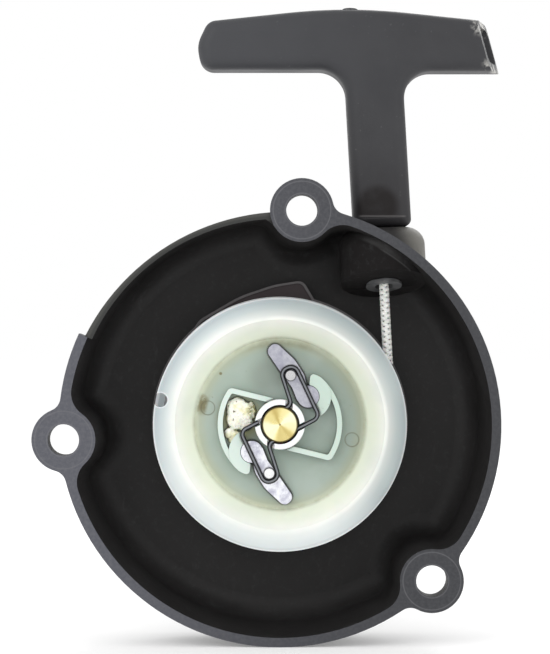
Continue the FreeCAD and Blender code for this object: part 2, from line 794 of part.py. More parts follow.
def make_friction_spring():
    """The wire spring: a loop round each pawl pin, two bends and a wrap round the post's groove."""
    wrap = (*polar(size("wrap_radius") / math.cos(math.radians(35)), 115), size("wrap_radius"))
    start = (-5.45, 2.56)
    end = (-7.7, 0.77)
    route = [start, wrap, *ARM_ROUTE, *turned([wrap, *ARM_ROUTE[:-1]]), end]
    spring = doc.addObject("PartDesign::Body", "FrictionSpring")
    path = outline(spring, "XZ_Plane", "WireRoute", rounded(route, closed=False))
    section = spring.newObject("Sketcher::SketchObject", "WireSection")
    heading = Rotation(Vector(0, 0, 1), Vector(0.5, 0, 0.866))
    section.Placement = Placement(Vector(start[0], 0, start[1]), heading)
    circle = section.addGeometry(Part.Circle(Vector(), Vector(0, 0, 1), size("wire_radius")))
    radius = section.addConstraint(Sketcher.Constraint("Radius", circle, size("wire_radius")))
    section.renameConstraint(radius, "wire_radius")
    section.setExpression("Constraints.wire_radius", cells("wire_radius"))
    pipe = spring.newObject("PartDesign::AdditivePipe", "Wire")
    pipe.Profile = section
    pipe.Spine = path
    place(spring, depth="wire_depth")
    return node(spring, "friction_spring")


def make_collar():
    """The nylon collar on the hub, slotted where the wire passes; it turns with the friction spring."""
    ring = turned_body("CollarRing", [
        ("collar_inner_radius", "collar_front_depth"),
        ("hub_radius - 0.3", "collar_front_depth"),
        ("hub_radius", "collar_front_depth + 0.3"),
        ("hub_radius", "collar_back_depth"),
        ("collar_inner_radius", "collar_back_depth"),
    ])
    slots = []
    for index, turn in enumerate((0, 180)):
        face = Placement(Vector(0, size("collar_front_depth") - 1, 0), Rotation(Vector(0, 1, 0), turn))
        leg = Placement(Vector(1.9, 0, 5.6), Rotation())
        slots.append(block(f"LegSlot{index}", 2.7, 3.2, 4.4, face * leg))
        slant = Placement(Vector(6.2, 0, -2.6), Rotation(Vector(0, 1, 0), -27))
        slots.append(block(f"SlantSlot{index}", 4.4, 3.2, 2.1, face * slant))
    return node(carve("HubCollar", ring, *slots), "hub_collar")


# ---------------------------------------------------------------- rope

def make_rope():
    """The rope: wound on the reel, led to the outlet, run into the handle and knotted at both ends."""
    winding = turned_body("RopeWinding", [
        ("drum_radius", "groove_near_depth + winding_gap"),
        ("winding_outer_radius", "groove_near_depth + winding_gap"),
        ("winding_outer_radius", "groove_far_depth - winding_gap"),
        ("drum_radius", "groove_far_depth - winding_gap"),
    ])
    across, up = polar(size("inner_knot_circle_radius"), size("inner_knot_angle"))
    ball = doc.addObject("Part::Sphere", "InnerKnotBall")
    ball.setExpression("Radius", cells("inner_knot_radius"))
    ball.Placement = Placement(Vector(across, size("inner_knot_depth"), up), Rotation())
    tail = knot_tail("InnerKnotTail", "inner_tail_radius", size("drum_radius") - 0.1)
    node(winding, "rope_wound")
    node(join("InnerKnot", ball, tail), "rope_knot_reel")
    node(pull_rod("RopeLead", "rope_radius", "lead_start", "lead_end"), "rope_lead")
    node(pull_rod("RopeRun", "rope_radius", "lead_end", "run_end"), "rope_run")
    node(pull_rod("RopeInHandle", "rope_radius", "run_end", "knot_seat"), "rope_in_handle")


# ---------------------------------------------------------------- handle

GRIP_OUTLINE = [(26.3, 69.7, 1.6), (47.0, 70.76, 2.6), (43.8, 125.9, 9.5), (80.0, 125.9), (76.0, 143.6),
                (24.0, 149.1, 200), (-25.6, 143.8, 4.8), (-29.6, 135.5, 10), (-28.0, 126.4, 5.2),
                (23.1, 126.4, 10)]
HOLLOW_OUTLINE = [(-20.0, 129.6, 3), (95.0, 129.0), (95.0, 140.6), (24.0, 144.4, 60), (-20.0, 140.4, 3)]
GRIP_CREASE = Vector(-40, 9.9, 139.7)
GATE_MARK = Vector(25.2, 18.4, 148.55)
GRIP_CUT_POINT = Vector(72.0, 9.9, 135.0)
GRIP_CUT_NORMAL = Vector(0.917, -0.303, 0.257)


def round_slab(name, corners, thickness, radius):
    """An outline padded towards +Y about the pull line's depth, with rounded front and back edges."""
    body = padded_body(name, rounded(corners), thickness)
    slab_depth = size(thickness)

    def face_edge(edge, middle):
        box = edge.BoundBox
        return box.YLength < 0.01 and (box.YMin < 0.01 or box.YMin > slab_depth - 0.01)

    round_edges(body, f"{name}Round", radius, face_edge)
    return place(body, depth=f"pull_depth - {thickness} / 2")


def make_handle():
    """The hollow T-shaped grip, with its right arm cut off at a slant and left open."""
    grip = round_slab("GripForm", GRIP_OUTLINE, "grip_thickness", "grip_round")
    hollow = round_slab("GripHollow", HOLLOW_OUTLINE, "hollow_thickness", "hollow_round")
    slant = Placement(GRIP_CUT_POINT, Rotation(Vector(1, 0, 0), GRIP_CUT_NORMAL))
    end_cut = block("GripEndCut", 40, 80, 80, slant * Placement(Vector(0, -40, -40), Rotation()))
    crease = Placement(GRIP_CREASE, Rotation(Vector(1, 0, 0), -size("crease_slope")))
    crease_cut = block("GripCreaseCut", 120, 5, 20, crease * Placement(Vector(0, -5, 0), Rotation()))
    bore = pull_rod("GripBore", "grip_bore_radius", "bore_low", "bore_end")
    cuts = [hollow, end_cut, crease_cut, stem_groove(), bore]
    whole = join("GripWhole", grip, gate_mark())
    return node(carve("HandleGrip", whole, *cuts), "handle_grip")


def stem_groove():
    """A shallow groove across the front and back of the stem, just above the housing."""
    reach = size("grip_thickness") / 2 - size("stem_groove_sink")
    height = size("stem_groove_height")
    middle = PULL * Placement(Vector(-20, 0, size("stem_groove_up")), Rotation())
    front = block("StemGrooveFront", 40, 2, height, middle * Placement(Vector(0, -reach - 2, 0), Rotation()))
    back = block("StemGrooveBack", 40, 2, height, middle * Placement(Vector(0, reach, 0), Rotation()))
    return join("StemGroove", front, back)


def gate_mark():
    """The low stub left on top of the grip where the mould was filled."""
    stub = doc.addObject("Part::Ellipsoid", "GateMark")
    stub.Radius1 = 0.7
    stub.Radius2 = 2.8
    stub.Radius3 = 1.8
    stub.Placement = Placement(GATE_MARK, Rotation())
    return stub


def make_handle_knot():
    """The knot that holds the rope's end in the handle, and the steel washer under it."""
    seat = size("knot_seat")
    washer = doc.addObject("Part::Cylinder", "KnotWasherDisc")
    washer.setExpression("Radius", cells("knot_washer_radius"))
    washer.setExpression("Height", cells("knot_washer_thickness"))
    washer.Placement = PULL * Placement(Vector(0, 0, seat - size("knot_washer_thickness")), Rotation())
    hole = pull_rod("KnotWasherHole", "knot_washer_bore", "run_end", "bore_end")
    node(carve("KnotWasher", washer, hole), "knot_washer")
    knot = doc.addObject("Part::Sphere", "HandleKnot")
    knot.setExpression("Radius", cells("knot_radius"))
    knot.Placement = PULL * Placement(Vector(0, 0, seat + size("knot_radius")), Rotation())
    return node(knot, "rope_knot_handle")


# ---------------------------------------------------------------- the whole

def make_all():
    make_housing()
    make_rope_guide()
    make_post()
    make_thrust_washer()
    make_recoil_spring()
    make_reel()
    for label, name, lower in (("upper", "Upper", False), ("lower", "Lower", True)):
        make_pawl(f"pawl_{label}", f"{name}Pawl", lower)
        make_pawl_pin(f"pawl_pin_{label}", f"{name}PawlPin", lower)
    make_friction_spring()
    make_collar()
    make_rope()
    make_handle()
    make_handle_knot()
    doc.recompute()


def export():
    """Stop on any failed object, then write one STEP file for each sub-part."""
    failed = [item.Name for item in doc.Objects if {"Invalid", "Error"} & set(item.State)]
    bad = [item.Label for item in nodes if item.Shape.isNull() or not item.Shape.isValid()]
    if failed or bad:
        raise RuntimeError(f"failed objects: {failed}; bad shapes: {bad}")
    os.makedirs("parts", exist_ok=True)
    for item in nodes:
        box = item.Shape.BoundBox
        print(f"{item.Label}: {len(item.Shape.Solids)} solid, {item.Shape.Volume:.1f} mm3, "
              f"x {box.XMin:.1f}..{box.XMax:.1f} y {box.YMin:.1f}..{box.YMax:.1f} "
              f"z {box.ZMin:.1f}..{box.ZMax:.1f}")
        item.Shape.exportStep(f"parts/{item.Label}.step")


make_all()
export()
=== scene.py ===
import json
import math

import bpy
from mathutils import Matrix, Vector, noise


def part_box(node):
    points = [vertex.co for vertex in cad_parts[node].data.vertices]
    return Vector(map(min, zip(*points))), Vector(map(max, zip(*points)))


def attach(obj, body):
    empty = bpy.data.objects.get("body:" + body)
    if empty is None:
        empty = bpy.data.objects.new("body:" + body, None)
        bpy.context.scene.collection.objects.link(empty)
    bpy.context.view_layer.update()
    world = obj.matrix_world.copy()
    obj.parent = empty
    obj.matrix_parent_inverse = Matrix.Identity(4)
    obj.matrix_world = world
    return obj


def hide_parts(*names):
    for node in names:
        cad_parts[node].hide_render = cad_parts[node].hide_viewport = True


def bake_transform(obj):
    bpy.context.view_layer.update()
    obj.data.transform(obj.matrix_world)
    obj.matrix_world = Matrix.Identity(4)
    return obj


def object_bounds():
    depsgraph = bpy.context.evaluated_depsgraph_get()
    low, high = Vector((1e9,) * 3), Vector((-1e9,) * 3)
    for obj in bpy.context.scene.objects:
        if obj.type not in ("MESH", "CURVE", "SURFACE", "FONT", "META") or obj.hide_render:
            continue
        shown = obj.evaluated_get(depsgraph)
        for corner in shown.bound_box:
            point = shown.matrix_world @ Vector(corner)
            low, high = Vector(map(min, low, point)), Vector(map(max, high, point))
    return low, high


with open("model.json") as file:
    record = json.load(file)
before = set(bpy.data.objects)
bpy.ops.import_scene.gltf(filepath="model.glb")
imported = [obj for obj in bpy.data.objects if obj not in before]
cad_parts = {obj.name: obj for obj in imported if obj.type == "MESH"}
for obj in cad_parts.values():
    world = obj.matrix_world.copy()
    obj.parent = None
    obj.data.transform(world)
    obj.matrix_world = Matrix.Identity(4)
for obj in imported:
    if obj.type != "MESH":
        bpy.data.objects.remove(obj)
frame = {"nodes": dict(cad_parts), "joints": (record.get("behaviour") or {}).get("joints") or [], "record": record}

# Looks of a recoil starter, in metres, in the CAD frame: the reel turns about Y, the housing is open
# towards -Y and its mounting face is the plane y = 0. Angles are seen from the open side.

MM = 0.001
CAD_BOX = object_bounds()
NODES = frame["nodes"]
JOINTS = {joint["name"]: joint for joint in frame["joints"]}

# the rope's own measures
ROPE_RADIUS = 2.0 * MM
BRAID_STRANDS = 2               # in each direction
BRAID_PITCH = 3.8 * MM          # length of one full turn of a strand
STRAND_HALF_WIDTH = 0.68 * MM
STRAND_HALF_THICKNESS = 0.44 * MM
STRAND_SWING = 0.30 * MM        # how far a strand goes in and out as it crosses the others
CORE_RADIUS = 1.0 * MM
WOUND_ROPE_RADIUS = 0.95 * ROPE_RADIUS

# places on the pieces, in millimetres; a pair is across and up from the reel's axis
EAR_RADIUS = 11.0
EAR_HOLE_RADIUS = 5.5
RECESS_DEPTHS = (1.0, 1.4)      # round the sunk stretch of the housing's rim
RECESS_RADII = (71.8, 72.4)
HIGHLIGHT_LINE_RADIUS = 71.3       # of the painted highlight line inside the rim, near the outlet
OUTLET_BOSS = (36.0, 56.0)
OUTER_BOSS_RADIUS = 76.0        # the boss shows outside the rim from here
CASE_FRONT = 25.4               # depth of the spring case's front
CASE_TAIL_RADII = (42.5, 53.5)  # between which the case's tail lies
STEM_DARK_PATCH = (34.6, 77.4)
STEM_BEAD = 74.0                # height of the thin bead round the stem
CUT_END = (1.0, -0.33, 0.28)    # the grip's slanted cut is where this slant of the place is CUT_PLACE
CUT_PLACE = 106.5
REEL_RADIUS = 45.0
REEL_FLOOR_DEPTH = 16.0
REEL_FLOOR_RADIUS = 30.4
NOTCH = (-42.4, 8.8)
NOTCH_RADIUS = 2.75
MOULD_MARKS = ((25.8, -5.7), (-25.8, 5.7))
MOULD_MARK_RADIUS = 2.5
GREASY_POCKET = (-14.0, 2.0)


# ---------------------------------------------------------------- node graphs

class Paint:
    """A principled material under construction; most methods add nodes and return their output."""

    def __init__(self, name, **constants):
        self.material = bpy.data.materials.new(name)
        self.material.use_nodes = True
        self.tree = self.material.node_tree
        self.shader = self.tree.nodes["Principled BSDF"]
        for socket, value in constants.items():
            self.shader.inputs[socket.replace("_", " ")].default_value = value
        self.here = self.add("ShaderNodeTexCoord").outputs["Object"]

    def add(self, kind, **settings):
        node = self.tree.nodes.new(kind)
        for key, value in settings.items():
            setattr(node, key, value)
        return node

    def put(self, socket, value):
        """Link an output into a socket, or set the socket's own value."""
        if isinstance(value, bpy.types.NodeSocket):
            self.tree.links.new(value, socket)
        elif hasattr(socket.default_value, "__len__") and not hasattr(value, "__len__"):
            socket.default_value = [value] * 3 + [1.0] * (len(socket.default_value) - 3)
        elif hasattr(value, "__len__") and len(value) < len(socket.default_value):
            socket.default_value = (*value, 1.0)
        else:
            socket.default_value = value

    def math(self, operation, first, second=0.0, third=0.0):
        node = self.add("ShaderNodeMath", operation=operation)
        for socket, value in zip(node.inputs, (first, second, third)):
            self.put(socket, value)
        return node.outputs[0]

    def axis(self, name, vector=None):
        """One coordinate of a place, which is a point of the object unless another is given."""
        node = self.add("ShaderNodeSeparateXYZ")
        self.put(node.inputs[0], vector or self.here)
        return node.outputs[name]

    def away(self, across, up):
        """Distance from the line along Y through a point of the X-Z plane, in millimetres."""
        x = self.math("SUBTRACT", self.axis("X"), across * MM)
        z = self.math("SUBTRACT", self.axis("Z"), up * MM)
        squares = self.math("ADD", self.math("MULTIPLY", x, x), self.math("MULTIPLY", z, z))
        return self.math("MULTIPLY", self.math("SQRT", squares), 1 / MM)

    def angle(self):
        """Angle round the reel's axis, in radians, from +X towards +Z."""
        return self.math("ARCTAN2", self.axis("Z"), self.axis("X"))

    def slant(self, across, depth, up):
        """A weighted sum of the three coordinates, in millimetres."""
        total = 0.0
        for name, weight in (("X", across), ("Y", depth), ("Z", up)):
            if weight:
                total = self.math("MULTIPLY_ADD", self.axis(name), weight / MM, total)
        return total

    def between(self, value, low, high, soft):
        """1 between two values, with soft ends."""
        rise = self.step(value, low - soft, low + soft)
        return self.times(rise, self.step(value, high + soft, high - soft))

    def sector(self, first, last, soft):
        """1 between two angles round the reel's axis, in degrees, with soft ends."""
        return self.between(self.angle(), math.radians(first), math.radians(last), math.radians(soft))

    def corners(self, reach, own=False):
        """1 in corners and close beside other pieces, 0 in the open; own leaves other pieces out."""
        node = self.add("ShaderNodeAmbientOcclusion", samples=8, only_local=own)
        node.inputs["Distance"].default_value = reach
        return self.math("SUBTRACT", 1.0, node.outputs["AO"])

    def contact(self, reach):
        """How close other pieces are, from 0 up to about 0.5 where they touch."""
        return self.math("SUBTRACT", self.corners(reach), self.corners(reach, own=True))

    def crest(self):
        """How far the surface faces the open side, from -1 to 1."""
        here = self.tree.nodes["Texture Coordinate"].outputs["Normal"]
        return self.math("MULTIPLY", self.axis("Y", here), -1.0)

    def noise(self, size, detail=3.0, roughness=0.5, stretch=None):
        """Soft noise with features of about one size, in metres; stretch squeezes it along axes."""
        node = self.add("ShaderNodeTexNoise")
        place = self.here
        if stretch:
            mapping = self.add("ShaderNodeMapping")
            self.put(mapping.inputs["Vector"], place)
            mapping.inputs["Scale"].default_value = stretch
            place = mapping.outputs[0]
        self.put(node.inputs["Vector"], place)
        node.inputs["Scale"].default_value = 0.5 / size
        node.inputs["Detail"].default_value = detail
        node.inputs["Roughness"].default_value = roughness
        return node.outputs[0]

    def step(self, value, low, high, start=0.0, end=1.0):
        """A smooth step from start to end, as the value goes from low to high."""
        node = self.add("ShaderNodeMapRange", interpolation_type="SMOOTHSTEP")
        for socket, number in zip(node.inputs, (value, low, high, start, end)):
            self.put(socket, number)
        return node.outputs[0]

    def peak(self, value, centre, width):
        """1 at the centre, falling to 0 one width away."""
        gap = self.math("ABSOLUTE", self.math("SUBTRACT", value, centre))
        return self.step(gap, 0.0, width, 1.0, 0.0)

    def times(self, *factors):
        """The product of the factors."""
        result = factors[0]
        for factor in factors[1:]:
            result = self.math("MULTIPLY", result, factor)
        return result

    def most(self, first, *others):
        """The largest of the values."""
        result = first
        for value in others:
            result = self.math("MAXIMUM", result, value)
        return result

    def mix(self, factor, first, second):
        """The first colour where the factor is 0 and the second where it is 1."""
        node = self.add("ShaderNodeMix", data_type="RGBA", clamp_factor=True)
        self.put(node.inputs[0], factor)
        self.put(node.inputs[6], first)
        self.put(node.inputs[7], second)
        return node.outputs[2]

    def ramp(self, value, stops):
        """A colour ramp through (place, colour) stops."""
        node = self.add("ShaderNodeValToRGB")
        self.put(node.inputs[0], value)
        ramp = node.color_ramp
        while len(ramp.elements) < len(stops):
            ramp.elements.new(1.0)
        for element, (place, colour) in zip(ramp.elements, stops):
            element.position = place
            element.color = (*colour, 1.0)
        return node.outputs[0]

    def bump(self, height, distance, below=None):
        """A normal bent by a height in 0 to 1, over a real distance; it adds to the one below it."""
        node = self.add("ShaderNodeBump")
        node.inputs["Strength"].default_value = 1.0
        node.inputs["Distance"].default_value = distance
        self.put(node.inputs["Height"], height)
        if below:
            self.put(node.inputs["Normal"], below)
        return node.outputs[0]

    def finish(self, colour, roughness, normal=None):
        """Connect the shader's inputs and give the material."""
        for socket, value in (("Base Color", colour), ("Roughness", roughness), ("Normal", normal)):
            if value is not None:
                self.put(self.shader.inputs[socket], value)
        return self.material


# ---------------------------------------------------------------- materials

def moulded_grain(paint, coarse=0.10 * MM, fine=0.05 * MM):
    """The fine erosion texture of a mould, over a slightly wavy skin."""
    waves = paint.bump(paint.noise(9 * MM, 2.0), coarse)
    return paint.bump(paint.noise(0.42 * MM, 4.0, 0.62), fine, waves)


def nearest_ear(paint):
    """Distance from the nearest ear's hole, in millimetres."""
    ears = [mount["pos_m"] for mount in frame["record"]["mounts"] if mount["kind"] == "bore"]
    distances = [paint.away(place[0] / MM, place[2] / MM) for place in ears]
    nearest = distances[0]
    for distance in distances[1:]:
        nearest = paint.math("MINIMUM", nearest, distance)
    return nearest


def housing_faces(paint):
    """The flat faces of the rim and ears: speckled grey, with painted light that makes them lighter at the left,
    and faint painted highlight rings round the ears' edges and holes.
    """
    # painted light: the faces lighter towards the left, where the key light falls
    rightwards = paint.step(paint.slant(1, 0, 0), -82, 60)
    dark = paint.mix(rightwards, (0.086, 0.088, 0.104), (0.041, 0.042, 0.047))
    light = paint.mix(rightwards, (0.128, 0.129, 0.143), (0.066, 0.067, 0.072))
    speckle = paint.noise(0.6 * MM, 3.0, 0.7)
    colour = paint.mix(paint.step(speckle, 0.35, 0.7, 0.0, 0.6), dark, light)
    ear = nearest_ear(paint)
    # painted highlights: light rings along the ears' edges and round their holes
    rings = paint.most(paint.peak(ear, EAR_RADIUS - 0.9, 0.35),
                       paint.peak(ear, EAR_HOLE_RADIUS + 0.4, 0.3))
    return paint.mix(paint.times(rings, 0.45), colour, (0.16, 0.16, 0.17))


def housing_recess(paint, colour, depth, from_axis):
    """Paint the sunk stretch of the rim: painted shade inside it, and a painted highlight along its outer edge."""
    recess = paint.times(paint.between(depth, *RECESS_DEPTHS, 0.1), paint.step(from_axis, *RECESS_RADII),
                         paint.step(paint.crest(), 0.90, 0.98))
    outer = paint.step(from_axis, 73.2, 74.2)
    return paint.mix(recess, colour, paint.mix(outer, (0.034, 0.035, 0.033), (0.058, 0.058, 0.054)))


def case_tail(paint, colour, depth, from_axis):
    """Paint the spring case's tail: a reddish black face, with a painted highlight on the lip round it."""
    low, high = CASE_TAIL_RADII
    tail = paint.between(from_axis, low, high, 0.5)
    face = paint.times(tail, paint.between(depth, CASE_FRONT + 0.35, CASE_FRONT + 0.9, 0.15))
    colour = paint.mix(face, colour, (0.040, 0.030, 0.032))
    # painted highlight: the lip painted light where it faces the open side
    lip = paint.times(tail, paint.peak(depth, CASE_FRONT, 0.3), paint.step(paint.crest(), 0.5, 0.9))
    return paint.mix(lip, colour, (0.105, 0.098, 0.100))


def housing_plastic():
    """Black moulded plastic, greyer on the flat faces of the rim and ears, with rubbed marks, painted highlights
    and painted shade.
    """
    paint = Paint("housing_plastic", Specular_IOR_Level=0.24)
    clouds = paint.noise(14 * MM, 4.0, 0.6)
    depth = paint.slant(0, 1, 0)
    from_axis = paint.away(0, 0)
    body = paint.ramp(clouds, [(0.25, (0.0140, 0.0130, 0.0130)), (0.75, (0.0235, 0.0222, 0.0220))])
    face = paint.step(depth, 0.3, 0.02)
    colour = paint.mix(face, body, housing_faces(paint))
    colour = housing_recess(paint, colour, depth, from_axis)
    rubbed = paint.noise(3.5 * MM, 5.0, 0.7, stretch=(1.0, 1.0, 0.3))
    colour = paint.mix(paint.step(rubbed, 0.60, 0.72, 0.0, 0.35), colour, (0.050, 0.050, 0.052))
    # painted highlight: a light line along the cavity wall inside the rim, near the outlet
    line = paint.times(paint.peak(from_axis, HIGHLIGHT_LINE_RADIUS, 0.45), paint.between(depth, 1.0, 12.0, 1.0),
                       paint.sector(50, 60, 1.5))
    colour = paint.mix(paint.times(line, 0.8), colour, (0.12, 0.12, 0.12))
    # painted light: the right side of the boss outside the rim painted a lighter brownish grey
    outside = paint.step(from_axis, OUTER_BOSS_RADIUS - 0.5, OUTER_BOSS_RADIUS + 1.0)
    lit_boss_side = paint.times(outside, paint.step(paint.slant(1, 0, 0.3), 60, 70), paint.step(depth, 2.5, 4.0),
                       paint.step(paint.slant(0, 0, 1), 30, 50))
    colour = paint.mix(lit_boss_side, colour, (0.15, 0.145, 0.13))
    colour = case_tail(paint, colour, depth, from_axis)
    # painted shade: the outlet boss's front inside the rim painted near black, and made rougher
    boss = paint.times(paint.step(paint.away(*OUTLET_BOSS), 17, 12), paint.step(from_axis, 72.5, 71.0),
                       paint.between(depth, 2.0, 24.0, 1.0))
    colour = paint.mix(paint.times(boss, 0.75), colour, (0.004, 0.003, 0.003))
    dust = paint.step(paint.noise(1.3 * MM, 5.0, 0.72), 0.50, 0.74)
    off_face = paint.step(face, 0.5, 0.0)
    colour = paint.mix(paint.times(dust, off_face, 0.35), colour, (0.040, 0.042, 0.042))
    roughness = paint.most(paint.step(clouds, 0.3, 0.8, 0.46, 0.62), paint.times(boss, 0.95))
    return paint.finish(colour, roughness, moulded_grain(paint))


def handle_plastic():
    """The grip's plastic: dark slate grey, finely grained, with painted light on the crossbar, a dark patch on the
    stem, a painted highlight on the bead, and whitened round its cut-off end, partly by rubbing and partly by a
    painted highlight.
    """
    paint = Paint("handle_plastic", Specular_IOR_Level=0.26)
    clouds = paint.noise(10 * MM, 5.0, 0.62)
    body = paint.ramp(clouds, [(0.25, (0.029, 0.029, 0.032)), (0.75, (0.042, 0.042, 0.045))])
    specks = paint.step(paint.noise(0.7 * MM, 2.0, 0.5), 0.68, 0.76, 0.0, 0.4)
    colour = paint.mix(specks, body, (0.11, 0.11, 0.11))
    up = paint.slant(0, 0, 1)
    # painted light: the crossbar lighter, most towards its left, where the key light falls
    rightwards = paint.step(paint.slant(1, 0, 0), -25, 60, 0.6, 0.1)
    colour = paint.mix(paint.times(paint.step(up, 100, 130), rightwards), colour, (0.056, 0.058, 0.064))
    colour = paint.mix(paint.step(up, 104, 72, 0.0, 0.55), colour, (0.018, 0.016, 0.017))
    above_bead = paint.step(up, STEM_BEAD - 1.0, STEM_BEAD + 1.0)
    # a dark oval patch on the stem, just above the bead
    dark_patch = paint.times(paint.step(paint.away(*STEM_DARK_PATCH), 9.0, 5.5), above_bead,
                        paint.step(paint.noise(2.0 * MM, 3.0), 0.3, 0.6, 0.75, 1.0))
    colour = paint.mix(dark_patch, colour, (0.006, 0.004, 0.004))
    # painted highlight: a light line along the bead, on the front of the stem
    bead = paint.times(paint.peak(up, STEM_BEAD, 0.5), paint.step(paint.slant(0, 1, 0), 11.0, 10.2))
    colour = paint.mix(bead, colour, (0.090, 0.085, 0.085))
    # the cut-off end whitened in patches: partly rubbed plastic, partly painted highlight
    end = paint.slant(*CUT_END)
    patches = paint.step(paint.noise(1.6 * MM, 4.0, 0.65), 0.42, 0.60)
    high_or_low = paint.most(paint.step(up, 137.0, 141.5), paint.step(up, 130.5, 127.0))
    wear_and_highlight = paint.times(paint.step(end, CUT_PLACE - 3.2, CUT_PLACE - 0.4), patches, high_or_low)
    colour = paint.mix(paint.times(wear_and_highlight, 0.85), colour, (0.50, 0.49, 0.46))
    return paint.finish(colour, paint.step(clouds, 0.2, 0.8, 0.44, 0.58), moulded_grain(paint))


REEL_COLOUR_AND_LIGHT = [  # radius in millimetres and the nylon's colour there; the stops from 31.6 to 36.6 are painted brighter against the bowl's shading, and the last one is a painted highlight on the flange's front edge
    (9.0, (0.31, 0.38, 0.33)),
    (26.0, (0.36, 0.43, 0.37)),
    (28.8, (0.40, 0.44, 0.33)),
    (30.4, (0.60, 0.64, 0.49)),
    (31.6, (0.80, 0.85, 0.70)),
    (34.0, (0.83, 0.87, 0.74)),
    (36.6, (0.90, 0.91, 0.84)),
    (38.6, (0.82, 0.84, 0.81)),
    (41.4, (0.56, 0.62, 0.62)),
    (43.6, (0.44, 0.50, 0.52)),
    (44.4, (0.46, 0.51, 0.53)),
    (44.8, (0.72, 0.74, 0.75)),
]


def reel_brown_marks(paint, inside):
    """Where the reel's floor is painted olive-brown: a patch at the left, a thinner one on top, a mottled ring at
    the floor's edge, dark specks.
    """
    radius = paint.away(0, 0)
    shape = paint.noise(1.8 * MM, 5.0, 0.65)
    rim = paint.between(radius, 26.9, 30.2, 0.8)
    left = paint.times(rim, paint.sector(159, 172, 4.0), paint.step(shape, 0.34, 0.56))
    top = paint.times(paint.between(radius, 28.0, 30.6, 0.9), paint.step(shape, 0.30, 0.66, 0.15, 0.42),
                      paint.sector(62, 112, 12.6))
    edge = paint.times(paint.peak(radius, REEL_FLOOR_RADIUS, 1.3),
                       paint.step(shape, 0.36, 0.66, 0.08, 0.32))
    dirt = paint.step(paint.noise(0.9 * MM, 4.0, 0.7), 0.67, 0.75, 0.0, 0.5)
    speck = paint.step(paint.away(-21.2, 18.0), 0.75, 0.3)
    return paint.most(left, top, edge, paint.times(dirt, inside), speck)


def reel_nylon():
    """Milky natural nylon: bluish flange, sloped bowl painted brighter against its shading, grey-green thin floor,
    olive-brown marks; painted shade towards the right, in corners and beside other pieces, and painted light on
    the flange's lower part.
    """
    paint = Paint("reel_nylon", Subsurface_Scale=1.2 * MM, Subsurface_Weight=0.10, IOR=1.45,
                  Specular_IOR_Level=0.35)
    radius = paint.away(0, 0)
    stops = [(at / REEL_RADIUS, colour) for at, colour in REEL_COLOUR_AND_LIGHT]
    colour = paint.ramp(paint.math("DIVIDE", radius, REEL_RADIUS), stops)
    bowl = paint.between(radius, 30.6, 38.4, 1.0)
    # painted shade: darker towards the right, less on the bowl
    side = paint.step(paint.slant(0.9, 0, 0.42), -12, 32)
    shade = paint.times(side, paint.step(bowl, 0.0, 1.0, 1.0, 0.3))
    colour = paint.mix(paint.times(shade, 0.36), colour, (0.10, 0.12, 0.10))
    # painted light: the lower part of the flange painted lighter
    lower = paint.times(paint.step(paint.slant(-0.3, 0, -1), 8, 40), paint.step(radius, 38.0, 41.0))
    colour = paint.mix(paint.times(lower, 0.45), colour, (0.86, 0.88, 0.86))
    clouds = paint.noise(9 * MM, 3.0, 0.55)
    colour = paint.mix(paint.step(clouds, 0.4, 0.7, 0.0, 0.22), colour, (0.52, 0.58, 0.56))
    depth = paint.slant(0, 1, 0)
    inside = paint.step(radius, 29.8, 29.4)
    raised = paint.times(inside, paint.step(depth, 14.2, 13.6))
    # the raised parts in lit and shaded copies: painted shade towards the right
    colour = paint.mix(raised, colour, paint.mix(side, (0.64, 0.74, 0.68), (0.50, 0.62, 0.54)))
    brown_marks = reel_brown_marks(paint, inside)
    colour = paint.mix(paint.times(brown_marks, 0.85), colour, (0.17, 0.145, 0.060))
    # painted highlight: a light ring round the cut in the flange's rim
    notch_highlight = paint.times(paint.peak(paint.away(*NOTCH), NOTCH_RADIUS, 0.35), paint.step(depth, 11.0, 10.0))
    colour = paint.mix(paint.times(notch_highlight, 0.55), colour, (0.80, 0.82, 0.84))
    shadow = paint.times(inside, paint.step(paint.away(-4.5, 17.0), 9.0, 3.0, 0.0, 0.30))
    colour = paint.mix(shadow, colour, (0.14, 0.15, 0.13))
    marks = [paint.peak(paint.away(*place), MOULD_MARK_RADIUS, 0.4) for place in MOULD_MARKS]
    colour = paint.mix(paint.times(paint.most(*marks), 0.5), colour, (0.16, 0.15, 0.09))
    film = paint.times(paint.step(paint.away(*GREASY_POCKET), 10.5, 5.0), inside,
                       paint.step(depth, 14.0, 15.5))
    colour = paint.mix(paint.times(film, 0.8), colour, (0.22, 0.21, 0.08))
    near = paint.step(radius, REEL_FLOOR_RADIUS + 0.8, REEL_FLOOR_RADIUS)
    # painted shade in the corners of the floor
    painted_shade = paint.times(paint.step(paint.corners(1.1 * MM, own=True), 0.20, 0.70, 0.0, 0.55), near)
    colour = paint.mix(painted_shade, colour, (0.085, 0.090, 0.070))
    # painted shade on the floor beside other pieces, such as the pawls and the wire
    contact_shade = paint.times(paint.step(paint.contact(1.3 * MM), 0.10, 0.32, 0.0, 0.92), near)
    colour = paint.mix(contact_shade, colour, (0.035, 0.035, 0.032))
    waves = paint.bump(paint.noise(5 * MM, 2.0), 0.08 * MM)
    normal = paint.bump(paint.noise(0.5 * MM, 3.0), 0.010 * MM, waves)
    return paint.finish(colour, paint.step(clouds, 0.3, 0.7, 0.34, 0.46), normal)


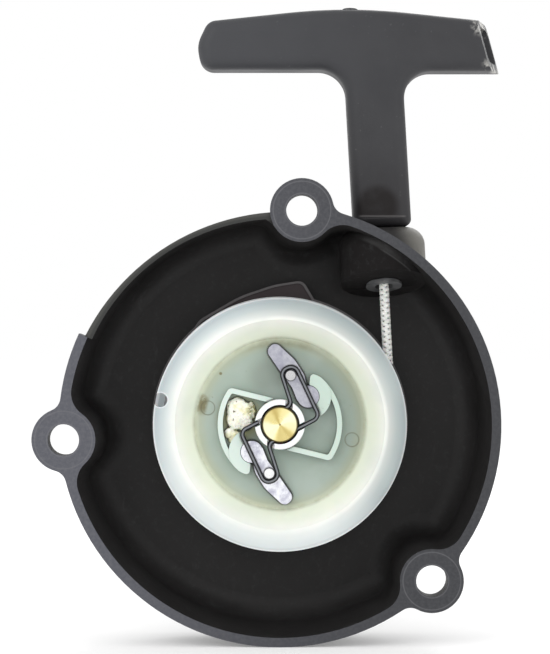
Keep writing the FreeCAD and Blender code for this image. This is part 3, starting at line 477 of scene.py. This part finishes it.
def collar_nylon():
    """The white nylon collar, with grey rubbing marks and painted shade where other pieces touch it."""
    paint = Paint("collar_nylon", Subsurface_Scale=0.6 * MM, Subsurface_Weight=0.1)
    marks = paint.step(paint.noise(1.2 * MM, 4.0, 0.65), 0.56, 0.75, 0.0, 0.35)
    colour = paint.mix(marks, (0.88, 0.89, 0.88), (0.55, 0.56, 0.57))
    # painted shade where other pieces touch the collar
    painted_shade = paint.step(paint.contact(0.8 * MM), 0.12, 0.40, 0.0, 0.9)
    colour = paint.mix(painted_shade, colour, (0.06, 0.06, 0.055))
    normal = paint.bump(paint.noise(0.4 * MM, 3.0), 0.02 * MM)
    return paint.finish(colour, paint.step(marks, 0.0, 0.4, 0.32, 0.5), normal)


TURNING_PITCH = 0.16            # of the facing cut's rings, in millimetres


def turned_brass():
    """Brass with the fine rings of a facing cut; fans of painted highlight round the centre stand in for its
    shine, and it is painted darker at the centre and round its edge.
    """
    paint = Paint("post_brass", Metallic=1.0, Anisotropic=0.75)
    tangent = paint.add("ShaderNodeTangent", direction_type="RADIAL", axis="Y")
    paint.put(paint.shader.inputs["Tangent"], tangent.outputs[0])
    from_axis = paint.away(0, 0)
    wobble = paint.noise(2.2 * MM, 2.0)
    turn = paint.math("ADD", paint.angle(), paint.times(wobble, 0.7))
    # painted highlight: bright and dull fans round the centre
    fans = paint.math("COSINE", paint.math("ADD", paint.times(turn, 2.0), -1.57))
    narrow = paint.math("SINE", paint.math("ADD", paint.times(turn, 7.0), 1.3))
    light = paint.math("ADD", paint.times(fans, 0.40), paint.times(narrow, 0.10))
    light = paint.math("ADD", light, 0.55)
    colour = paint.ramp(light, [(0.0, (0.56, 0.43, 0.14)), (0.45, (0.86, 0.75, 0.34)),
                                (0.9, (1.0, 0.97, 0.66))])
    colour = paint.mix(paint.step(from_axis, 0.5, 0.2), colour, (0.30, 0.24, 0.10))
    colour = paint.mix(paint.step(from_axis, 5.7, 6.2), colour, (0.16, 0.12, 0.05))
    rings = paint.math("SINE", paint.times(from_axis, 2 * math.pi / TURNING_PITCH))
    normal = paint.bump(paint.math("MULTIPLY_ADD", rings, 0.5, 0.5), 0.006 * MM)
    return paint.finish(colour, paint.step(wobble, 0.3, 0.7, 0.26, 0.38), normal)


def bright_steel(name, colour, shade, roughness, scratch):
    """Plated steel: cloudy, scratched one way, with painted shade on its side walls and where other pieces touch
    it, such as under the wire, and a painted dimmer reflection high above the reel's axis.
    """
    paint = Paint(name, Metallic=0.8)
    clouds = paint.noise(1.8 * MM, 4.0, 0.65)
    lines = paint.noise(0.35 * MM, 3.0, 0.6, stretch=scratch)
    dim_reflection = [0.52 * value for value in shade]
    scratched = [0.6 * value for value in shade]
    mixed = paint.mix(paint.step(clouds, 0.35, 0.7), colour, shade)
    # painted reflection: pieces high above the reel's axis painted dimmer, as the upper pawl mirrors something
    # greyer
    mixed = paint.mix(paint.step(paint.slant(0, 0, 1), -4, 6, 0.0, 0.62), mixed, dim_reflection)
    mixed = paint.mix(paint.step(lines, 0.58, 0.72, 0.0, 0.35), mixed, scratched)
    # painted shade on the side walls, which face away from the open side, and where other pieces touch, such as
    # under the wire
    painted_shade = paint.most(paint.step(paint.contact(0.9 * MM), 0.10, 0.36, 0.0, 0.92),
                       paint.step(paint.crest(), 0.92, 0.6, 0.0, 0.95))
    mixed = paint.mix(painted_shade, mixed, (0.030, 0.030, 0.032))
    normal = paint.bump(lines, 0.02 * MM, paint.bump(clouds, 0.04 * MM))
    return paint.finish(mixed, paint.step(clouds, 0.3, 0.7, roughness, roughness + 0.14), normal)


def black_wire():
    """Oil-blackened spring wire with a painted highlight: grey along its crest, where it faces the open side."""
    paint = Paint("spring_wire", Metallic=0.6, Specular_IOR_Level=0.3)
    clouds = paint.noise(1.0 * MM, 4.0, 0.6)
    # painted highlight: a grey stripe along the side that faces the open side
    crest = paint.math("MULTIPLY_ADD", clouds, 0.10, paint.math("ADD", paint.crest(), -0.05))
    colour = paint.ramp(crest, [(0.70, (0.012, 0.012, 0.013)), (0.88, (0.035, 0.035, 0.038)),
                                (0.99, (0.20, 0.21, 0.225))])
    normal = paint.bump(paint.noise(0.15 * MM, 3.0), 0.010 * MM)
    return paint.finish(colour, paint.step(clouds, 0.3, 0.7, 0.34, 0.48), normal)


def grey_guide():
    """The dull grey eyelet, cloudy in lighter and darker grey."""
    paint = Paint("guide_metal", Metallic=0.2)
    clouds = paint.noise(1.3 * MM, 4.0, 0.6)
    colour = paint.ramp(clouds, [(0.3, (0.10, 0.102, 0.105)), (0.7, (0.18, 0.182, 0.186))])
    return paint.finish(colour, paint.step(clouds, 0.3, 0.7, 0.36, 0.52), paint.bump(clouds, 0.03 * MM))


def blued_spring():
    """Tempered strip steel, straw and blue by turns."""
    paint = Paint("spring_steel", Metallic=1.0)
    clouds = paint.noise(5.0 * MM, 4.0, 0.6)
    colour = paint.ramp(clouds, [(0.3, (0.14, 0.16, 0.24)), (0.55, (0.30, 0.31, 0.35)),
                                 (0.75, (0.42, 0.36, 0.27))])
    lines = paint.noise(0.3 * MM, 2.0, 0.5, stretch=(1.0, 6.0, 1.0))
    return paint.finish(colour, paint.step(clouds, 0.3, 0.7, 0.28, 0.42), paint.bump(lines, 0.01 * MM))


def yarn_colour(paint, fibres):
    """White yarn, greyer between its fibres."""
    return paint.mix(paint.step(fibres, 0.35, 0.65, 0.0, 0.5), (0.92, 0.92, 0.89), (0.74, 0.74, 0.70))


def rope_yarn(name, shade_amount=0.0):
    """White filament yarn: fine fibres, a few dirty patches, a soft sheen; its second argument, when above 0,
    paints shade over all of it, darkening it towards grey.
    """
    paint = Paint(name, Sheen_Weight=0.3, Sheen_Roughness=0.4, Subsurface_Weight=0.1,
                  Subsurface_Scale=0.5 * MM)
    fibres = paint.noise(0.10 * MM, 3.0, 0.6)
    soil = paint.noise(4.0 * MM, 4.0, 0.6)
    # real dirty patches; with the second argument above 0, painted shade darkens all of the yarn towards grey
    dirt_and_shade_colour = (0.20, 0.20, 0.22) if shade_amount else (0.50, 0.49, 0.43)
    dirt = paint.step(soil, 0.56, 0.75, shade_amount, min(1.0, shade_amount + 0.4))
    colour = paint.mix(dirt, yarn_colour(paint, fibres), dirt_and_shade_colour)
    return paint.finish(colour, paint.step(fibres, 0.3, 0.7, 0.55, 0.75), paint.bump(fibres, 0.05 * MM))


def rope_gap_shade(name):
    """The dark core inside the braid: painted shade that shows in the gaps between the strands."""
    paint = Paint(name)
    fibres = paint.noise(0.12 * MM, 3.0, 0.6)
    colour = paint.mix(fibres, (0.012, 0.012, 0.012), (0.035, 0.035, 0.032))
    return paint.finish(colour, 0.8, paint.bump(fibres, 0.04 * MM))


def braided_rope(name, foot, direction):
    """The same rope for a smooth tube along a line: its crossings come from the place on the line."""
    paint = Paint(name, Sheen_Weight=0.3, Sheen_Roughness=0.4)
    mapping = paint.add("ShaderNodeMapping", vector_type="TEXTURE")
    paint.put(mapping.inputs["Vector"], paint.here)
    mapping.inputs["Location"].default_value = foot
    mapping.inputs["Rotation"].default_value = direction.to_track_quat("Z", "Y").to_euler()
    local = mapping.outputs[0]
    turn = paint.math("ARCTAN2", paint.axis("Y", local), paint.axis("X", local))
    around = paint.math("COSINE", paint.times(turn, float(BRAID_STRANDS)))
    pace = 2 * math.pi * BRAID_STRANDS / BRAID_PITCH
    along = paint.math("COSINE", paint.times(paint.axis("Z", local), pace))
    crossing = paint.math("MULTIPLY", paint.math("ABSOLUTE", paint.math("ADD", around, along)), 0.5)
    height = paint.math("POWER", crossing, 0.45)
    fibres = paint.noise(0.12 * MM, 3.0, 0.6)
    # painted shade: dark in the low places between the crossings
    colour = paint.mix(paint.step(height, 0.42, 0.14), yarn_colour(paint, fibres), (0.05, 0.05, 0.045))
    normal = paint.bump(fibres, 0.04 * MM, paint.bump(height, 0.5 * MM))
    return paint.finish(colour, 0.65, normal)


def grease_paint():
    """Cream grease with dark spots painted as the shade in its pits, and olive, dirty edges, yellower in its lower
    lump.
    """
    paint = Paint("grease", Subsurface_Weight=0.1, Subsurface_Scale=0.6 * MM)
    clouds = paint.noise(2.6 * MM, 4.0, 0.6)
    yellow = paint.most(paint.step(clouds, 0.44, 0.68),
                        paint.step(paint.slant(0, 0, 1), -2.4, -4.0, 0.0, 0.6))
    colour = paint.mix(yellow, (0.90, 0.89, 0.80), (0.78, 0.74, 0.42))
    # painted shade: dark spots standing for small pits
    pits = paint.step(paint.noise(0.8 * MM, 3.0, 0.6), 0.61, 0.67)
    colour = paint.mix(pits, colour, (0.14, 0.13, 0.07))
    foam = paint.times(paint.step(paint.away(-9.2, 4.8), 3.2, 1.4),
                       paint.step(paint.noise(0.7 * MM, 3.0, 0.6), 0.46, 0.56))
    colour = paint.mix(foam, colour, (0.26, 0.25, 0.12))
    edge = paint.step(paint.slant(0, 1, 0), REEL_FLOOR_DEPTH - 1.1, REEL_FLOOR_DEPTH - 0.1)
    colour = paint.mix(edge, colour, (0.26, 0.25, 0.10))
    normal = paint.bump(paint.noise(0.5 * MM, 3.0, 0.6), 0.08 * MM)
    return paint.finish(colour, paint.step(clouds, 0.3, 0.7, 0.22, 0.4), normal)


def floor_paint():
    """A plain pale studio floor, as bright as the surroundings."""
    paint = Paint("floor", Specular_IOR_Level=0.0, Emission_Color=(1.0, 1.0, 1.0, 1.0),
                  Emission_Strength=0.22)
    colour = paint.mix(paint.noise(0.4, 2.0), (0.79, 0.79, 0.79), (0.81, 0.81, 0.81))
    return paint.finish(colour, 0.9)


# ---------------------------------------------------------------- meshes

def mesh_piece(name, points, faces, *materials, smooth=True, second_from=None):
    """A new object from points and faces; from face second_from on, it has the second material."""
    mesh = bpy.data.meshes.new(name)
    mesh.from_pydata([tuple(point) for point in points], [], faces)
    if smooth:
        mesh.shade_smooth()
    for material in materials:
        mesh.materials.append(material)
    if second_from is not None:
        for polygon in mesh.polygons[second_from:]:
            polygon.material_index = 1
    piece = bpy.data.objects.new(name, mesh)
    bpy.context.scene.collection.objects.link(piece)
    return piece


def frames_along(path):
    """Side and up at each point of a path, turned as little as possible from one to the next."""
    tangents = []
    for index in range(len(path)):
        ahead = path[min(index + 1, len(path) - 1)]
        behind = path[max(index - 1, 0)]
        tangents.append((ahead - behind).normalized())
    side = Vector((0, -1, 0)) if abs(tangents[0].y) < 0.9 else Vector((1, 0, 0))
    frames = []
    for tangent in tangents:
        side = (side - tangent * side.dot(tangent)).normalized()
        frames.append((side, tangent.cross(side)))
    return frames


def ring_round(place, side, up, radius, count):
    """An even ring of points round a place."""
    angles = [2 * math.pi * corner / count for corner in range(count)]
    return [place + (side * math.cos(angle) + up * math.sin(angle)) * radius for angle in angles]


def add_tube(points, faces, rings):
    """Add a closed tube through rings of points, with flat caps."""
    count = len(rings[0])
    first = len(points)
    for ring in rings:
        points.extend(ring)
    for row in range(len(rings) - 1):
        for column in range(count):
            here = first + row * count + column
            beside = first + row * count + (column + 1) % count
            faces.append((here, beside, beside + count, here + count))
    faces.append(tuple(first + column for column in reversed(range(count))))
    last = first + (len(rings) - 1) * count
    faces.append(tuple(last + column for column in range(count)))


def lengths_along(path):
    """How far along the path each of its points is."""
    travelled = [0.0]
    for before, after in zip(path, path[1:]):
        travelled.append(travelled[-1] + (after - before).length)
    return travelled


def strand_line(path, size, way, strand, middle):
    """Place and outward direction of one strand at each point of a rope's path."""
    line = []
    for place, (side, up), along in zip(path, frames_along(path), lengths_along(path)):
        phase = 2 * math.pi * along / (BRAID_PITCH * size)
        turn = math.pi / 4 + way * phase + 2 * math.pi * strand / BRAID_STRANDS
        outward = side * math.cos(turn) + up * math.sin(turn)
        reach = middle + way * STRAND_SWING * size * math.cos(BRAID_STRANDS * phase)
        line.append((place + outward * reach, outward))
    return line


def braid(name, path, yarn, gap_shade, radius=ROPE_RADIUS, sides=8):
    """A rope of real strands that cross over and under round a dark core, which stands for the shade in the gaps
    between them.
    """
    size = radius / ROPE_RADIUS
    half_width, half_thickness = STRAND_HALF_WIDTH * size, STRAND_HALF_THICKNESS * size
    middle = radius - STRAND_SWING * size - half_thickness
    points, faces = [], []
    for way in (1, -1):
        for strand in range(BRAID_STRANDS):
            line = strand_line(path, size, way, strand, middle)
            rings = []
            for index, (place, outward) in enumerate(line):
                ahead = line[min(index + 1, len(line) - 1)][0] - line[max(index - 1, 0)][0]
                broad = ahead.normalized().cross(outward).normalized() * half_width
                rings.append(ring_round(place, broad, outward * half_thickness, 1.0, sides))
            add_tube(points, faces, rings)
    core_first = len(faces)
    core = [ring_round(place, side, up, CORE_RADIUS * size, sides)
            for place, (side, up) in zip(path, frames_along(path))]
    add_tube(points, faces, core)
    return mesh_piece(name, points, faces, yarn, gap_shade, second_from=core_first)


def knobbly_tube(name, path, material, radius=ROPE_RADIUS, sides=16):
    """A rope as one skin whose surface rises at each crossing of the braid."""
    rings = []
    for place, (side, up), along in zip(path, frames_along(path), lengths_along(path)):
        phase = math.cos(BRAID_STRANDS * 2 * math.pi * along / BRAID_PITCH)
        ring = []
        for corner in range(sides):
            angle = 2 * math.pi * corner / sides
            crossing = abs(math.cos(BRAID_STRANDS * angle) + phase) / 2
            reach = radius * (0.86 + 0.14 * crossing ** 0.5)
            ring.append(place + (side * math.cos(angle) + up * math.sin(angle)) * reach)
        rings.append(ring)
    points, faces = [], []
    add_tube(points, faces, rings)
    return mesh_piece(name, points, faces, material)


def straight(start, end, spacing):
    """Evenly spaced points from start to end."""
    count = max(2, round((end - start).length / spacing) + 1)
    return [start.lerp(end, index / (count - 1)) for index in range(count)]


# ---------------------------------------------------------------- rope pieces

def pull_line():
    """A point on the pull line and its direction, from the ends of the CAD rope and the joint's axis."""
    direction = Vector(JOINTS["handle_pull"]["axis"]).normalized()
    low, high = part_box("rope_lead")
    middle = (low + high) / 2
    return middle, direction


def on_pull_line(height):
    """The point of the pull line at a height above the reel's axis."""
    middle, direction = pull_line()
    return middle + direction * ((height - middle.z) / direction.z)


def end_heights(node):
    """The heights of the two end centres of a CAD rope along the pull line."""
    _, direction = pull_line()
    low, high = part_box(node)
    tilt = ROPE_RADIUS * abs(direction.x)
    return low.z + tilt, high.z - tilt


def rope_lead(yarn, gap_shade):
    """The stretch of rope that shows between the reel and the guide, strand by strand."""
    low, high = end_heights("rope_lead")
    path = straight(on_pull_line(low), on_pull_line(high), 0.19 * MM)
    piece = braid("rope_lead_braid", path, yarn, gap_shade)
    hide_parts("rope_lead")
    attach(piece, "starter_housing")
    return piece


def rope_run(material):
    """The rope from the guide into the handle, which draws out when the handle is pulled."""
    low, high = end_heights("rope_run")
    start, end = on_pull_line(low), on_pull_line(high)
    path = straight(start, end, 0.75 * MM)
    rings = [ring_round(place, side, up, ROPE_RADIUS * 0.97, 24)
             for place, (side, up) in zip(path, frames_along(path))]
    points, faces = [], []
    add_tube(points, faces, rings)
    piece = mesh_piece("rope_run_braid", points, faces, material)
    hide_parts("rope_run")
    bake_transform(piece)
    return piece


def rope_in_handle(yarn, gap_shade):
    """The rope inside the handle's stem, up to the knot."""
    low, high = end_heights("rope_in_handle")
    path = straight(on_pull_line(low), on_pull_line(high + 1.0 * MM), 0.24 * MM)
    piece = braid("rope_in_handle_braid", path, yarn, gap_shade, sides=6)
    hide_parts("rope_in_handle")
    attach(piece, "pull_handle")
    return piece


def winding_path():
    """Two layers of two turns, side by side, each turn stepping over to the next in a short stretch."""
    low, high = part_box("rope_wound")
    outer = high.x
    near, far = low.y + WOUND_ROPE_RADIUS, high.y - WOUND_ROPE_RADIUS
    inner_layer, outer_layer = outer - 3 * ROPE_RADIUS, outer - ROPE_RADIUS
    stations = [(inner_layer, near), (inner_layer, far), (outer_layer, far), (outer_layer, near)]
    steps_per_turn = 480
    crossover = 0.86            # the part of a turn after which it steps over
    outlet_angle = math.radians(3.0)
    path = []
    for index in range(steps_per_turn * len(stations)):
        turn, part = divmod(index / steps_per_turn, 1.0)
        here = stations[int(turn)]
        following = stations[min(int(turn) + 1, len(stations) - 1)]
        late = max(0.0, (part - crossover) / (1 - crossover))
        ease = late * late * (3 - 2 * late)
        radius = here[0] + (following[0] - here[0]) * ease
        depth = here[1] + (following[1] - here[1]) * ease
        angle = 2 * math.pi * part + outlet_angle
        path.append(Vector((radius * math.cos(angle), depth, radius * math.sin(angle))))
    return path


def rope_winding(yarn):
    """The rope's four turns on the reel."""
    piece = knobbly_tube("rope_winding_turns", winding_path(), yarn, radius=WOUND_ROPE_RADIUS, sides=12)
    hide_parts("rope_wound")
    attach(piece, "rope_reel")
    return piece


def knot_place(node):
    """The centre and radius of the CAD knot's ball; the reel's knot has a tail towards the drum."""
    low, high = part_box(node)
    reach = (high.y - low.y) / 2
    if node == "rope_knot_reel":
        return Vector((high.x - reach, low.y + reach, high.z - reach)), reach
    return (low + high) / 2, reach


def overhand_knot(name, node, body, yarn, heading, rope_radius):
    """A drawn-tight overhand knot that fills the CAD knot's round space."""
    centre, reach = knot_place(node)
    turn = heading.to_track_quat("Z", "Y")
    scale = (reach - rope_radius) / 3.0
    path = []
    count = 220
    for index in range(count + 1):
        t = 2 * math.pi * (index % count) / count
        x = math.sin(t) + 2 * math.sin(2 * t)
        y = math.cos(t) - 2 * math.cos(2 * t)
        z = -1.9 * math.sin(3 * t)
        path.append(centre + turn @ (Vector((x, y, z)) * scale))
    piece = knobbly_tube(name, path, yarn, radius=rope_radius, sides=14)
    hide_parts(node)
    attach(piece, body)
    return piece


def knot_tail(yarn, gap_shade):
    """The short rope from the reel's knot out through the drum wall."""
    centre, reach = knot_place("rope_knot_reel")
    outward = Vector((centre.x, 0, centre.z)).normalized()
    path = straight(centre + outward * 1.0 * MM, centre + outward * (reach + 3.2 * MM), 0.3 * MM)
    piece = braid("rope_tail_braid", path, yarn, gap_shade, radius=1.85 * MM, sides=6)
    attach(piece, "rope_reel")
    return piece


# ---------------------------------------------------------------- grease

GREASE_LUMPS = [  # across, up, reach, crown height above the reel's floor, in millimetres
    (-15.4, 5.6, 3.9, 2.5),
    (-12.8, 4.6, 3.5, 2.6),
    (-15.6, 1.6, 3.7, 2.5),
    (-12.6, 0.6, 3.1, 2.3),
    (-14.2, 3.2, 4.3, 2.9),
    (-18.0, -3.4, 2.0, 1.8),
    (-15.9, -4.3, 1.9, 1.7),
    (-17.2, -5.6, 1.4, 1.2),
    (-9.7, 6.1, 1.0, 1.1),
    (-9.2, 4.5, 0.9, 1.0),
    (-9.5, 2.7, 0.8, 0.9),
    (-10.3, 7.4, 0.8, 0.8),
]


def grease_ball(across, up, reach, crown):
    """Rings of points over an uneven ball, half sunk in the reel's floor."""
    rows, columns = 14, 28
    rings = []
    for row in range(rows):
        polar_angle = math.pi * (row + 0.5) / rows
        ring = []
        for column in range(columns):
            turn = 2 * math.pi * column / columns
            way = Vector((math.sin(polar_angle) * math.cos(turn), -math.cos(polar_angle),
                          math.sin(polar_angle) * math.sin(turn)))
            swell = 1.0 + 0.16 * noise.noise(way * 2.3 + Vector((across, up, reach)))
            place = Vector((across + way.x * reach * swell, REEL_FLOOR_DEPTH + way.y * crown * swell,
                            up + way.z * reach * swell))
            ring.append(place * MM)
        rings.append(ring)
    return rings


def melt(piece):
    """Join a piece's overlapping balls into one smooth skin."""
    remesh = piece.modifiers.new("melt", "REMESH")
    remesh.mode = "VOXEL"
    remesh.voxel_size = 0.22 * MM
    remesh.use_smooth_shade = True
    smooth = piece.modifiers.new("soften", "SMOOTH")
    smooth.factor = 0.6
    smooth.iterations = 5
    depsgraph = bpy.context.evaluated_depsgraph_get()
    melted = bpy.data.meshes.new_from_object(piece.evaluated_get(depsgraph))
    piece.modifiers.clear()
    piece.data = melted


def grease(material):
    """Lumps of grease left in the reel's left pocket, melted into one skin."""
    points, faces = [], []
    for lump in GREASE_LUMPS:
        add_tube(points, faces, grease_ball(*lump))
    piece = mesh_piece("grease_lump", points, faces, material)
    melt(piece)
    sunk = 0.08                 # how far the skin reaches into the floor, in millimetres
    for vertex in piece.data.vertices:
        place = vertex.co / MM
        lump = noise.noise(place * 0.9) * 0.28 + noise.noise(place * 2.2) * 0.12
        above = min(1.0, max(0.0, (REEL_FLOOR_DEPTH - place.y) / 0.8))
        vertex.co.y = min(vertex.co.y + lump * above * MM, (REEL_FLOOR_DEPTH + sunk) * MM)
    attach(piece, "rope_reel")
    return piece


# ---------------------------------------------------------------- dressing and stage

def dress(materials):
    """Give every CAD node the material of its slot."""
    for part in frame["record"]["subparts"]:
        slots = NODES[part["node"]].material_slots
        for slot in slots:
            slot.material = materials[part["material_slot"]]


def make_stage():
    """A pale floor under the object, pale surroundings and soft studio lights."""
    ground = CAD_BOX[0].z
    half = 6.0                  # of the floor's side, in metres
    corners = [(-half, -half, ground), (half, -half, ground), (half, half, ground), (-half, half, ground)]
    floor = mesh_piece("floor", corners, [(0, 1, 2, 3)], floor_paint(), smooth=False)
    world = bpy.data.worlds.new("studio")
    world.use_nodes = True
    world.node_tree.nodes["Background"].inputs["Color"].default_value = (1.0, 1.0, 1.0, 1.0)
    world.node_tree.nodes["Background"].inputs["Strength"].default_value = 1.0
    bpy.context.scene.world = world
    add_light("key", place=(-0.55, -0.75, 0.60), width=0.55, power=2.4)
    add_light("fill", place=(0.70, -0.60, 0.20), width=0.70, power=1.0)
    add_light("back", place=(0.30, 0.80, 0.60), width=0.60, power=3.0)


def add_light(name, place, width, power):
    """A square soft light aimed at the object's middle, in metres and watts."""
    light = bpy.data.lights.new(name, "AREA")
    light.size = width
    light.energy = power
    holder = bpy.data.objects.new(name, light)
    holder.location = place
    middle = (CAD_BOX[0] + CAD_BOX[1]) / 2
    holder.rotation_euler = (middle - Vector(place)).to_track_quat("-Z", "Y").to_euler()
    bpy.context.scene.collection.objects.link(holder)


def make_camera():
    """Square on to the open side, seven tenths of a metre in front of the mounting face."""
    camera = bpy.data.cameras.new("camera")
    camera.sensor_width = 36.0
    camera.lens = 110.1
    holder = bpy.data.objects.new("camera", camera)
    holder.location = (-1.75 * MM, -0.700, 34.65 * MM)
    holder.rotation_euler = (math.radians(90), 0, 0)
    bpy.context.scene.collection.objects.link(holder)
    bpy.context.scene.camera = holder
    bpy.context.scene.view_settings.view_transform = "Standard"


def dress_all(yarn):
    """The CAD nodes' materials, by slot."""
    washer = bright_steel("washer_steel", (0.62, 0.62, 0.63), (0.42, 0.42, 0.43), 0.32, (1, 4, 1))
    pawl = bright_steel("pawl_steel", (0.90, 0.91, 0.95), (0.50, 0.50, 0.60), 0.30, (3, 1, 1))
    pin = bright_steel("pin_steel", (0.93, 0.93, 0.93), (0.74, 0.74, 0.75), 0.22, (1, 1, 1))
    dress({
        "housing_plastic": housing_plastic(),
        "handle_plastic": handle_plastic(),
        "guide_metal": grey_guide(),
        "post_brass": turned_brass(),
        "washer_steel": washer,
        "spring_steel": blued_spring(),
        "reel_nylon": reel_nylon(),
        "pawl_steel": pawl,
        "pin_steel": pin,
        "spring_wire": black_wire(),
        "collar_nylon": collar_nylon(),
        "rope_nylon": yarn,
    })


def make_ropes(yarn):
    """Every stretch of the rope, with its knots."""
    gap_shade = rope_gap_shade("rope_gap_shade")
    middle, direction = pull_line()
    reel_knot_centre, _ = knot_place("rope_knot_reel")
    outward = Vector((reel_knot_centre.x, 0, reel_knot_centre.z)).normalized()
    for piece in (
        rope_lead(yarn, gap_shade),
        rope_run(braided_rope("rope_braid", middle, direction)),
        rope_in_handle(yarn, gap_shade),
        # the wound turns are darkened all over with painted shade
        rope_winding(rope_yarn("rope_wound_yarn", shade_amount=0.8)),
        overhand_knot("handle_knot", "rope_knot_handle", "pull_handle", yarn, direction, 1.45 * MM),
        overhand_knot("reel_knot", "rope_knot_reel", "rope_reel", yarn, outward, 1.15 * MM),
        knot_tail(yarn, gap_shade),
    ):
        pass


make_camera()
make_stage()
white_yarn = rope_yarn("rope_nylon")
dress_all(white_yarn)
make_ropes(white_yarn)
grease(grease_paint())
